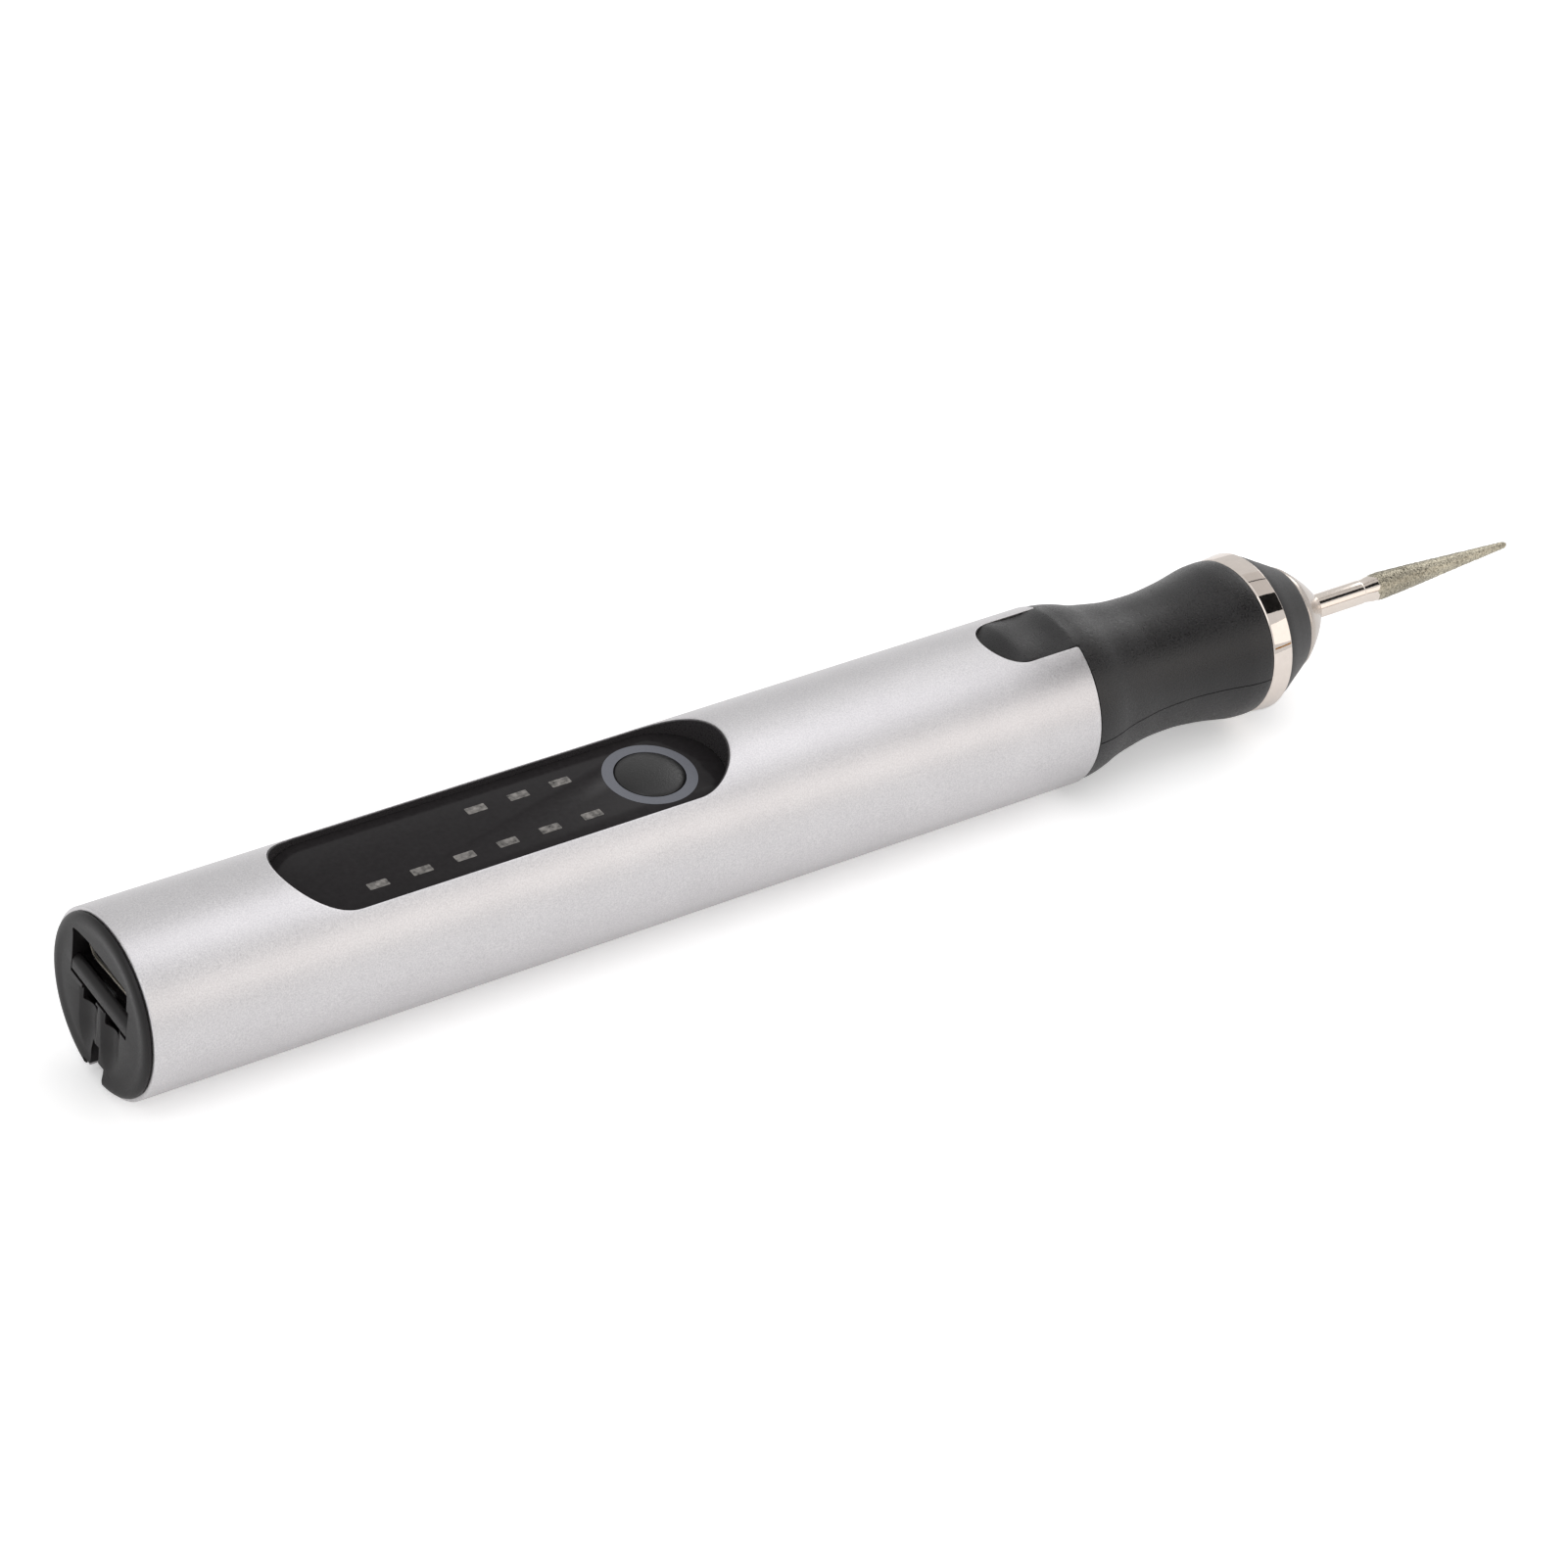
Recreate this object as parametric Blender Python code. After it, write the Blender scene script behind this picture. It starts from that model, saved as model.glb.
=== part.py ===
"""Electric engraving pen: a slim cordless rotary engraver, lying on its side.

The pen's axis runs along X, with the tail at -X and the bit's point at +X. Its display faces up.
Each piece is placed by its distance from the tail end of the tube, on a frame that rides on the axis.
"""

import math

import bmesh
import bpy

# Clearances
SEAT_GAP = 0.0003
SEAM_GAP = 0.0002
RUN_GAP = 0.0001
CUT_OVERRUN = 0.001
WELD_DISTANCE = 0.0000001

# How round pieces are swept and shaded
FULL_TURN = 2 * math.pi
SHARP_ANGLE = math.radians(35)
ARC_STEPS = 12

# Housing tube
TUBE_RADIUS = 0.0085
TUBE_WALL = 0.0009
TUBE_SIDES = 64
TAIL_EDGE = 0.00025
FRONT_EDGE = 0.00015
SLOT_START = 0.0155
SLOT_LENGTH = 0.0446
SLOT_WIDTH = 0.01084
KEY_SLOT_LENGTH = 0.0089
KEY_SLOT_WIDTH = 0.0066
TUBE_PAST_MOTOR = 0.00295

# End cap
CAP_STANDOFF = 0.0006
CAP_ROUND_WIDTH = 0.0012
CAP_ROUND_DEPTH = 0.00045
CAP_ROUND_STEPS = 4
CAP_WEB = 0.0026
CAP_SPIGOT_LENGTH = 0.007
CAP_SPIGOT_WALL = 0.0011
PORT_CORNER = 0.0012
PORT_CORNER_STEPS = 5
PORT_STEP_WIDTH = 0.01
PORT_STEP_FLOOR = -0.0005
PORT_STEP_DEPTH = 0.0005
CHANNEL_RADIUS = 0.00125
CHANNEL_CENTRE_OUT = 0.0005
CHANNEL_SPACING = 0.004
CHANNEL_TOP = -0.0009
CHANNEL_BOTTOM = -0.0036
CHANNEL_POCKET_WIDTH = 0.0018
CHANNEL_POCKET_HEIGHT = 0.0008
CHANNEL_POCKET_DEPTH = 0.0015
CAP_NOTCH_WIDTH = 0.002
CAP_NOTCH_TOP = -0.0058
CAP_NOTCH_DEPTH = 0.0009

# Charging socket
SOCKET_START = 0.0008
SOCKET_LENGTH = 0.0073
SOCKET_WIDTH = 0.00894
SOCKET_HEIGHT = 0.0032
SOCKET_WALL = 0.0003
SOCKET_DROP = 0.00035
TONGUE_SETBACK = 0.0008
TONGUE_WIDTH = 0.0072
TONGUE_THICKNESS = 0.0007
TONGUE_BASE_LENGTH = 0.0018
TONGUE_BASE_HEIGHT = 0.0014

# Display, button and lamps
LENS_DEPTH = 0.00265
LENS_THICKNESS = 0.0007
LENS_GAP = 0.00015
BUTTON_FROM_SLOT_END = 0.00654
BUTTON_RADIUS = 0.0031
BUTTON_TRAVEL = 0.00025
BUTTON_DOME_HEIGHT = 0.0007
BUTTON_DOME_STEPS = 4
BUTTON_FLANGE_WIDTH = 0.0006
BUTTON_FLANGE_THICKNESS = 0.00035
BUTTON_WALL = 0.0005
BUTTON_ROOF = 0.0005
BUTTON_SIDES = 32
LAMP_ROW_COUNT = 6
LAMP_SHORT_ROW_COUNT = 3
LAMP_FROM_SLOT = 0.0089
LAMP_FROM_BUTTON = 0.00766
LAMP_ROW_OFFSET = 0.00258
LAMP_LENGTH = 0.0016
LAMP_WIDTH = 0.0008
LAMP_THICKNESS = 0.0006
LAMP_STANDOFF = 0.00015

# Panel carrier, board and switch
CARRIER_LIP = 0.0037
CARRIER_BOTTOM = 0.0012
CARRIER_ROOF = 0.00065
CARRIER_FLOOR_GAP = 0.00025
BOARD_PAST_TAB = 0.0037
BOARD_WIDTH = 0.0112
BOARD_THICKNESS = 0.0008
CHIP_LENGTH = 0.0018
CHIP_WIDTH = 0.0028
CHIP_THICKNESS = 0.0006
CHIP_STANDOFF = 0.00025
CHIP_FROM_FRONT = 0.0022
SWITCH_WIDTH = 0.0034
SWITCH_STANDOFF = 0.00025
PLUNGER_RADIUS = 0.0008
PLUNGER_SIDES = 16

# Battery
CELL_RADIUS = 0.005
CELL_LENGTH = 0.044
CELL_FROM_BOARD = 0.0031
CELL_EDGE = 0.0004
CELL_NIPPLE_RADIUS = 0.0016
CELL_NIPPLE_LENGTH = 0.0008
CELL_SIDES = 32
TAB_THICKNESS = 0.0002
TAB_WIDTH = 0.003
TAB_DROP = 0.0012
SPACER_LENGTH = 0.0023
SPACER_RADIUS = 0.0045

# Motor
MOTOR_FROM_BOARD = 0.0036
MOTOR_WALL = 0.0008
MOTOR_SIDES = 32
BELL_FLANGE = 0.0015
BELL_PLUG = 0.002
CAN_LENGTH = 0.0282
CAN_FACE = 0.0012
CAN_BOSS_RADIUS = 0.0027
CAN_BOSS_LENGTH = 0.001
SHAFT_RADIUS = 0.001
SHAFT_END_SPARE = 0.0005
SHAFT_SIDES = 16
BUSH_WALL = 0.00055
MAGNET_WALL = 0.00115
MAGNET_SETBACK = 0.0042
MAGNET_SPARE = 0.0028
MAGNET_ARC = math.radians(125)
ARMATURE_INSET = 0.001
ARMATURE_SLOT = 0.0007
ARMATURE_SLOT_DEPTH = 0.0014
ARMATURE_POLES = 3
COMMUTATOR_RADIUS = 0.0019
COMMUTATOR_SPARE = 0.0004
COMMUTATOR_LENGTH = 0.0022
TERMINAL_OUT = 0.0018
TERMINAL_THICKNESS = 0.0004
TERMINAL_OFFSET = 0.0034
TERMINAL_HEIGHT = 0.002
BRUSH_REACH = 0.0015
MOUNT_RING_SETBACK = 0.0087
MOUNT_RING_LENGTH = 0.006
WIRE_RADIUS = 0.0004
WIRE_OFFSET = 0.0016

# Spindle, bearings and chuck
SPINDLE_FIT = 0.00015
SPINDLE_SIDES = 24
COUPLING_RADIUS = 0.003
COUPLING_FROM_MOTOR = 0.0029
COUPLING_LENGTH = 0.0045
COUPLING_FLOOR = 0.0002
SPINDLE_FROM_TIP = 0.0011
CHUCK_DEPTH = 0.0154
CLIP_SEAT_LENGTH = 0.002
CLIP_SEAT_DEPTH = 0.00058
CLIP_FROM_END = 0.001
CLIP_ARC = math.radians(300)
SET_SCREW_RADIUS = 0.00065
SET_SCREW_FROM_START = 0.002
BEARING_BORE = 0.005
BEARING_OUTSIDE = 0.01
BEARING_WIDTH = 0.004
RACE_SHARE = 0.28
BEARING_SIDES = 32
BALL_SHARE = 0.32
BALL_COUNT = 8
BALL_GAP = 0.00015
GROOVE_STEPS = 4
CAGE_WALL = 0.0005
CAGE_WIDTH = 0.0007
BEARING_FROM_COUPLING = 0.0006
BEARING_FROM_GRIP_END = 0.005

# Grip
GRIP_REAR_STEP = 0.00008
GRIP_WAIST_RADIUS = 0.00652
GRIP_FRONT_RADIUS = 0.00748
GRIP_WAIST_FROM_TUBE = 0.01185
GRIP_LENGTH = 0.02085
GRIP_SPIGOT_LENGTH = 0.0115
GRIP_SPIGOT_WALL = 0.001
MOTOR_SEAT_SPARE = 0.0006
GRIP_SIDES = 24
GRIP_SEAM_ANGLE = 0.015
SHAFT_TUNNEL_RADIUS = 0.0035
BEARING_SHOULDER_RADIUS = 0.0045
FRONT_SPIGOT_RADIUS = 0.0062
FRONT_SPIGOT_LENGTH = 0.0034
GRIP_REAR_SHARES = (
    (0.0, 1.0),
    (0.073, 0.968),
    (0.15, 0.874),
    (0.245, 0.71),
    (0.33, 0.532),
    (0.416, 0.4),
    (0.51, 0.284),
    (0.605, 0.18),
    (0.695, 0.09),
    (0.8, 0.036),
)
GRIP_FRONT_SHARES = (
    (0.0, 0.0),
    (0.2, 0.083),
    (0.311, 0.198),
    (0.433, 0.344),
    (0.55, 0.5),
    (0.678, 0.708),
    (0.789, 0.917),
    (0.9, 1.0),
    (1.0, 0.93),
)

# Trim ring and nose
RING_LENGTH = 0.002
RING_REAR_RADIUS = 0.00742
RING_FRONT_RADIUS = 0.00765
RING_EDGE = 0.00015
NOSE_SIDES = 48
CONE_LENGTH = 0.0041
CONE_REAR_RADIUS = 0.00752
CONE_FRONT_RADIUS = 0.0053
CONE_SHARES = ((0.0, 1.0), (0.24, 0.78), (0.5, 0.52), (0.76, 0.26), (1.0, 0.0))
TIP_LENGTH = 0.0041
TIP_REAR_RADIUS = 0.00515
TIP_MOUTH_RADIUS = 0.0014
TIP_MOUTH_WALL = 0.00022
TIP_STUB_RADIUS = 0.0036
TIP_STUB_LENGTH = 0.0025
TIP_CHAMBER_RADIUS = 0.0027
TIP_CHAMBER_SPARE = 0.0004
TIP_SHARES = ((0.0, 1.0), (0.22, 0.86), (0.49, 0.64), (0.73, 0.4), (0.9, 0.17), (1.0, 0.0))

# Engraving bit
SHANK_RADIUS = 0.001175
SHANK_EDGE = 0.0003
SHANK_SPARE = 0.0007
SHANK_LENGTH = 0.0257
FLARE_LENGTH = 0.0018
HEAD_LENGTH = 0.017
HEAD_RADIUS = 0.00133
HEAD_POINT_RADIUS = 0.00038
BIT_SIDES = 24
HEAD_SHARES = (
    (0.0, 0.98),
    (0.09, 1.0),
    (0.29, 0.79),
    (0.51, 0.53),
    (0.73, 0.26),
    (0.95, 0.0),
)
POINT_SHARES = ((0.975, 0.85), (0.992, 0.5), (1.0, 0.0))

# Places worked out from the sizes above: across the pen
AXIS_HEIGHT = TUBE_RADIUS * math.cos(math.pi / TUBE_SIDES)
TUBE_BORE = TUBE_RADIUS - TUBE_WALL
INSERT_RADIUS = TUBE_BORE - SEAT_GAP
LENS_TOP = TUBE_RADIUS - LENS_DEPTH
LENS_BOTTOM = LENS_TOP - LENS_THICKNESS
CARRIER_FLOOR = LENS_BOTTOM - CARRIER_FLOOR_GAP
CARRIER_CEILING = CARRIER_FLOOR - CARRIER_ROOF
BOARD_TOP = CARRIER_CEILING - SEAT_GAP
BOARD_BOTTOM = BOARD_TOP - BOARD_THICKNESS
SOCKET_CENTRE_Z = BOARD_TOP - SOCKET_DROP
BUTTON_EDGE = LENS_TOP - RUN_GAP
BUTTON_CEILING = BUTTON_EDGE - BUTTON_ROOF
PLUNGER_TOP = BUTTON_CEILING - SEAT_GAP
PLUNGER_HEIGHT = PLUNGER_TOP - BOARD_TOP - BUTTON_TRAVEL - RUN_GAP
SWITCH_BOTTOM = BOARD_TOP + SWITCH_STANDOFF
SWITCH_HEIGHT = BUTTON_CEILING - BUTTON_TRAVEL - RUN_GAP - SWITCH_BOTTOM
CELL_CENTRE_Z = -(TUBE_BORE - CELL_RADIUS - SEAT_GAP)
GRIP_REAR_RADIUS = TUBE_RADIUS - GRIP_REAR_STEP
MOTOR_RADIUS = INSERT_RADIUS - GRIP_SPIGOT_WALL - SEAT_GAP
MOTOR_BORE = MOTOR_RADIUS - MOTOR_WALL
SHAFT_HOLE = SHAFT_RADIUS + RUN_GAP
BUSH_RADIUS = SHAFT_HOLE + BUSH_WALL
BUSH_SEAT = BUSH_RADIUS + SEAM_GAP
MAGNET_OUTSIDE = MOTOR_BORE - SEAT_GAP
ARMATURE_RADIUS = MAGNET_OUTSIDE - MAGNET_WALL - SEAT_GAP - RUN_GAP
SHANK_HOLE = SHANK_RADIUS + RUN_GAP
SPINDLE_RADIUS = BEARING_BORE / 2 - SPINDLE_FIT
BEARING_SECTION = (BEARING_OUTSIDE - BEARING_BORE) / 2
BEARING_RACE = BEARING_SECTION * RACE_SHARE
BALL_RADIUS = BEARING_SECTION * BALL_SHARE
PITCH_RADIUS = (BEARING_BORE + BEARING_OUTSIDE) / 4

# Places along the pen, each from the piece behind it
SLOT_END = SLOT_START + SLOT_LENGTH
BUTTON_FROM_TAIL = SLOT_END - BUTTON_FROM_SLOT_END
LAMP_FIRST = SLOT_START + LAMP_FROM_SLOT
LAMP_LAST = BUTTON_FROM_TAIL - LAMP_FROM_BUTTON
LAMP_PITCH = (LAMP_LAST - LAMP_FIRST) / (LAMP_ROW_COUNT - 1)
BOARD_START = SOCKET_START + SOCKET_LENGTH + SEAT_GAP
CELL_START = BOARD_START + CELL_FROM_BOARD
CELL_END = CELL_START + CELL_LENGTH + CELL_NIPPLE_LENGTH
TAB_END = CELL_END + SEAM_GAP + TAB_THICKNESS
BOARD_END = max(SLOT_END + SEAT_GAP, TAB_END + BOARD_PAST_TAB)
BOARD_LENGTH = BOARD_END - BOARD_START
MOTOR_START = BOARD_END + MOTOR_FROM_BOARD
CARRIER_START = SLOT_START - CARRIER_LIP
CARRIER_END = MOTOR_START - SEAT_GAP
BELL_END = MOTOR_START + BELL_FLANGE + BELL_PLUG
CAN_START = MOTOR_START + BELL_FLANGE + SEAT_GAP
CAN_END = CAN_START + CAN_LENGTH
MOTOR_END = CAN_END + CAN_BOSS_LENGTH
COMMUTATOR_START = BELL_END + COMMUTATOR_SPARE
TERMINAL_END = COMMUTATOR_START + BRUSH_REACH
MAGNET_START = CAN_START + MAGNET_SETBACK
MAGNET_LENGTH = CAN_LENGTH - CAN_FACE - MAGNET_SETBACK - MAGNET_SPARE
ARMATURE_LENGTH = MAGNET_LENGTH - 2 * ARMATURE_INSET
MOUNT_RING_START = CAN_START + MOUNT_RING_SETBACK
TUBE_LENGTH = MOTOR_END + TUBE_PAST_MOTOR
GRIP_START = TUBE_LENGTH + SEAM_GAP
GRIP_END = GRIP_START + GRIP_LENGTH
GRIP_WAIST = TUBE_LENGTH + GRIP_WAIST_FROM_TUBE
GRIP_MOTOR_SEAT_END = MOTOR_END + MOTOR_SEAT_SPARE
COUPLING_START = MOTOR_END + COUPLING_FROM_MOTOR
COUPLING_END = COUPLING_START + COUPLING_LENGTH
COUPLING_BORE_END = COUPLING_END - COUPLING_FLOOR
SHAFT_START = MOTOR_START + SEAT_GAP
SHAFT_LENGTH = COUPLING_BORE_END - SHAFT_END_SPARE - SHAFT_START
REAR_BEARING_START = COUPLING_END + BEARING_FROM_COUPLING
FRONT_BEARING_START = GRIP_END - BEARING_FROM_GRIP_END
FRONT_SPIGOT_END = GRIP_END + FRONT_SPIGOT_LENGTH
RING_START = GRIP_END + SEAM_GAP
CONE_START = RING_START + RING_LENGTH + SEAM_GAP
TIP_START = CONE_START + CONE_LENGTH + SEAM_GAP
SPINDLE_END = TIP_START - SPINDLE_FROM_TIP
SHANK_START = SPINDLE_END - CHUCK_DEPTH + SHANK_SPARE
SHANK_END = SHANK_START + SHANK_LENGTH
HEAD_START = SHANK_END + FLARE_LENGTH
BIT_END = HEAD_START + HEAD_LENGTH
TAIL_X = -(BIT_END - CAP_STANDOFF) / 2

SILVER = ("anodised_aluminium", (0.62, 0.62, 0.64), 0.38, 1.0)
BLACK_PLASTIC = ("black_abs", (0.025, 0.024, 0.025), 0.5, 0.0)
GLOSS_BLACK = ("black_acrylic", (0.012, 0.012, 0.013), 0.08, 0.0)
SOFT_BLACK = ("soft_touch_black", (0.03, 0.028, 0.029), 0.62, 0.0)
CHROME = ("bright_chrome", (0.8, 0.78, 0.75), 0.06, 1.0)
NICKEL = ("satin_nickel", (0.62, 0.58, 0.54), 0.25, 1.0)
STEEL = ("bearing_steel", (0.55, 0.55, 0.56), 0.2, 1.0)
BRASS = ("brass", (0.7, 0.52, 0.22), 0.3, 1.0)
BRONZE = ("sintered_bronze", (0.5, 0.33, 0.17), 0.5, 1.0)
BOARD_GREEN = ("board_laminate", (0.02, 0.11, 0.05), 0.45, 0.0)
CHIP_BLACK = ("chip_epoxy", (0.02, 0.02, 0.02), 0.55, 0.0)
LAMP_WHITE = ("lamp_epoxy", (0.75, 0.75, 0.7), 0.35, 0.0)
CELL_BLUE = ("cell_sleeve", (0.03, 0.16, 0.35), 0.35, 0.0)
FERRITE = ("ferrite", (0.07, 0.065, 0.065), 0.7, 0.0)
IRON = ("laminated_iron", (0.35, 0.33, 0.32), 0.45, 1.0)
RUBBER = ("black_rubber", (0.02, 0.02, 0.02), 0.8, 0.0)
RED_WIRE = ("red_insulation", (0.5, 0.02, 0.02), 0.45, 0.0)
BLACK_WIRE = ("black_insulation", (0.02, 0.02, 0.02), 0.45, 0.0)


def clear_scene():
    for item in list(bpy.data.objects):
        bpy.data.objects.remove(item, do_unlink=True)


def finish(name, parameters):
    """The shared Principled material of this finish."""
    material = bpy.data.materials.get(name)
    if material is None:
        colour, roughness, metallic = parameters
        material = bpy.data.materials.new(name)
        material.use_nodes = True
        shader = material.node_tree.nodes["Principled BSDF"]
        shader.inputs["Base Color"].default_value = (*colour, 1.0)
        shader.inputs["Roughness"].default_value = roughness
        shader.inputs["Metallic"].default_value = metallic
    return material


def frame_empty(name, place, parent=None):
    empty = bpy.data.objects.new(name, None)
    empty.location = place
    empty.parent = parent
    bpy.context.collection.objects.link(empty)
    return empty


def piece(name, shape, surface, parent, place=(0.0, 0.0, 0.0)):
    """A named object made from a bmesh, with its material, on its frame."""
    bmesh.ops.remove_doubles(shape, verts=shape.verts, dist=WELD_DISTANCE)
    bmesh.ops.recalc_face_normals(shape, faces=shape.faces)
    mesh = bpy.data.meshes.new(name)
    shape.to_mesh(mesh)
    shape.free()
    mesh.shade_smooth()
    mesh.set_sharp_from_angle(angle=SHARP_ANGLE)
    mesh.materials.append(finish(surface[0], surface[1:]))
    item = bpy.data.objects.new(name, mesh)
    item.parent = parent
    item.location = place
    bpy.context.collection.objects.link(item)
    return item


def cutter(name, shape, parent, place=(0.0, 0.0, 0.0)):
    item = piece(name, shape, CHIP_BLACK, parent, place)
    item.hide_render = True
    item.display_type = "WIRE"
    return item


def boolean(target, other, operation="DIFFERENCE"):
    step = target.modifiers.new(f"{operation.lower()} {other.name}", "BOOLEAN")
    step.operation = operation
    step.solver = "EXACT"
    step.object = other


def swept(outline, sides, start=0.0, angle=FULL_TURN, axis="X"):
    """An outline of (distance, radius) points carried round the X or the Z axis.

    The outline's ends lie on the axis for a solid piece, and away from it for a ring.
    A full turn has a flat side straight down. A part turn starts at an angle counted from there.
    """
    shape = bmesh.new()
    full = angle == FULL_TURN
    turn = start - math.pi / 2 + (math.pi / sides if full else 0.0)
    corners = []
    for distance, radius in outline:
        across = radius * math.cos(turn)
        along = radius * math.sin(turn)
        spot = (distance, across, along) if axis == "X" else (across, along, distance)
        corners.append(shape.verts.new(spot))
    edges = [shape.edges.new(pair) for pair in zip(corners, corners[1:])]
    if outline[0][1] > 0 and outline[-1][1] > 0:
        edges.append(shape.edges.new((corners[-1], corners[0])))
    direction = (1, 0, 0) if axis == "X" else (0, 0, 1)
    bmesh.ops.spin(shape, geom=corners + edges, cent=(0, 0, 0), axis=direction, dvec=(0, 0, 0),
                   angle=angle, steps=sides, use_merge=full, use_duplicate=False)
    if not full:
        bmesh.ops.holes_fill(shape, edges=shape.edges, sides=0)
    return shape


def box(length, width, height):
    shape = bmesh.new()
    bmesh.ops.create_cube(shape, size=1.0)
    bmesh.ops.scale(shape, vec=(length, width, height), verts=shape.verts)
    return shape


def prism(outline, height, axis="Z"):
    """A flat outline in two axes, raised along the third."""
    shape = bmesh.new()
    order = "XYZ".index(axis)
    corners = []
    for point in outline:
        spot = list(point)
        spot.insert(order, 0.0)
        corners.append(shape.verts.new(spot))
    raised = bmesh.ops.extrude_face_region(shape, geom=[shape.faces.new(corners)])
    lift = [0.0, 0.0, 0.0]
    lift[order] = height
    tops = [item for item in raised["geom"] if isinstance(item, bmesh.types.BMVert)]
    bmesh.ops.translate(shape, vec=lift, verts=tops)
    return shape


def arc(centre_u, centre_v, radius, first, last, steps):
    """Points of an arc from the angle first to the angle last, both ends included."""
    angles = [first + (last - first) * step / steps for step in range(steps + 1)]
    return [(centre_u + radius * math.cos(a), centre_v + radius * math.sin(a)) for a in angles]


def stadium(start, length, width, steps=ARC_STEPS):
    """A slot with two round ends, from start along the first axis."""
    radius = width / 2
    quarter = math.pi / 2
    near = arc(start + radius, 0.0, radius, quarter, 3 * quarter, steps)
    far = arc(start + length - radius, 0.0, radius, -quarter, quarter, steps)
    return near + far


def rounded(width, height, radius, steps):
    """A rectangle about the centre with rounded corners."""
    quarter = math.pi / 2
    points = []
    for corner, (side_u, side_v) in enumerate(((1, 1), (-1, 1), (-1, -1), (1, -1))):
        centre_u = side_u * (width / 2 - radius)
        centre_v = side_v * (height / 2 - radius)
        points += arc(centre_u, centre_v, radius, corner * quarter, (corner + 1) * quarter, steps)
    return points


def rod(radius, height, sides):
    shape = bmesh.new()
    bmesh.ops.create_cone(shape, cap_ends=True, segments=sides, radius1=radius, radius2=radius, depth=height)
    return shape


def make_tube(pen):
    outline = [
        (0.0, TUBE_RADIUS - TAIL_EDGE),
        (TAIL_EDGE, TUBE_RADIUS),
        (TUBE_LENGTH - FRONT_EDGE, TUBE_RADIUS),
        (TUBE_LENGTH, TUBE_RADIUS - FRONT_EDGE),
        (TUBE_LENGTH, TUBE_BORE),
        (TUBE_WALL - TAIL_EDGE, TUBE_BORE),
    ]
    tube = piece("housing_tube", swept(outline, TUBE_SIDES), SILVER, pen)
    height = TUBE_RADIUS + CUT_OVERRUN
    slot = cutter("display_slot", prism(stadium(SLOT_START, SLOT_LENGTH, SLOT_WIDTH), height), pen)
    boolean(tube, slot)
    key = cutter("key_slot", prism(key_outline(KEY_SLOT_LENGTH, KEY_SLOT_WIDTH, CUT_OVERRUN), height), pen)
    boolean(tube, key)
    notch = cap_notch_cutter("tube_notch", CAP_NOTCH_WIDTH, CAP_NOTCH_DEPTH, pen)
    boolean(tube, notch)


def key_outline(length, width, overrun):
    """The slot in the tube's front edge, with a round rear end and an open front."""
    radius = width / 2
    quarter = math.pi / 2
    rear = TUBE_LENGTH - length + radius
    front = TUBE_LENGTH + overrun
    return arc(rear, 0.0, radius, quarter, 3 * quarter, ARC_STEPS) + [(front, -radius), (front, radius)]


def cap_notch_cutter(name, width, depth, pen):
    """The small notch in the lowest point of the tail's rim."""
    length = CAP_STANDOFF + CUT_OVERRUN + depth
    height = TUBE_RADIUS + CUT_OVERRUN + CAP_NOTCH_TOP
    place = (depth - length / 2, 0.0, CAP_NOTCH_TOP - height / 2)
    return cutter(name, box(length, width, height), pen, place)


def make_end_cap(pen):
    rim = TUBE_RADIUS - TAIL_EDGE - SEAT_GAP
    shoulder = CAP_STANDOFF - CAP_ROUND_DEPTH
    outline = [(-CAP_STANDOFF, 0.0)]
    for step in range(CAP_ROUND_STEPS + 1):
        turn = math.pi / 2 * step / CAP_ROUND_STEPS
        out = shoulder + CAP_ROUND_DEPTH * math.cos(turn)
        outline.append((-out, rim - CAP_ROUND_WIDTH * (1 - math.sin(turn))))
    outline += [
        (0.0, rim),
        (rim - INSERT_RADIUS, INSERT_RADIUS),
        (CAP_SPIGOT_LENGTH, INSERT_RADIUS),
        (CAP_SPIGOT_LENGTH, INSERT_RADIUS - CAP_SPIGOT_WALL),
        (CAP_WEB, INSERT_RADIUS - CAP_SPIGOT_WALL),
        (CAP_WEB, 0.0),
    ]
    cap = piece("end_cap", swept(outline, TUBE_SIDES), BLACK_PLASTIC, pen)
    cut_port(cap, pen)
    cut_channels(cap, pen)
    boolean(cap, cap_notch_cutter("cap_rim_notch", CAP_NOTCH_WIDTH, CAP_NOTCH_DEPTH, pen))


def cut_port(cap, pen):
    """The deep opening round the socket, and the shallow step under it."""
    width = SOCKET_WIDTH + 2 * SEAT_GAP
    height = SOCKET_HEIGHT + 2 * SEAT_GAP
    start = CAP_STANDOFF + CUT_OVERRUN
    length = start + CAP_SPIGOT_LENGTH + CUT_OVERRUN
    opening = prism(rounded(width, height, PORT_CORNER, PORT_CORNER_STEPS), length, "X")
    boolean(cap, cutter("port_opening", opening, pen, (-start, 0.0, SOCKET_CENTRE_Z)))
    depth = PORT_STEP_DEPTH + CUT_OVERRUN
    top = SOCKET_CENTRE_Z
    place = (PORT_STEP_DEPTH - CAP_STANDOFF - depth / 2, 0.0, (PORT_STEP_FLOOR + top) / 2)
    step = cutter("port_step", box(depth, PORT_STEP_WIDTH, top - PORT_STEP_FLOOR), pen, place)
    boolean(cap, step)


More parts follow.
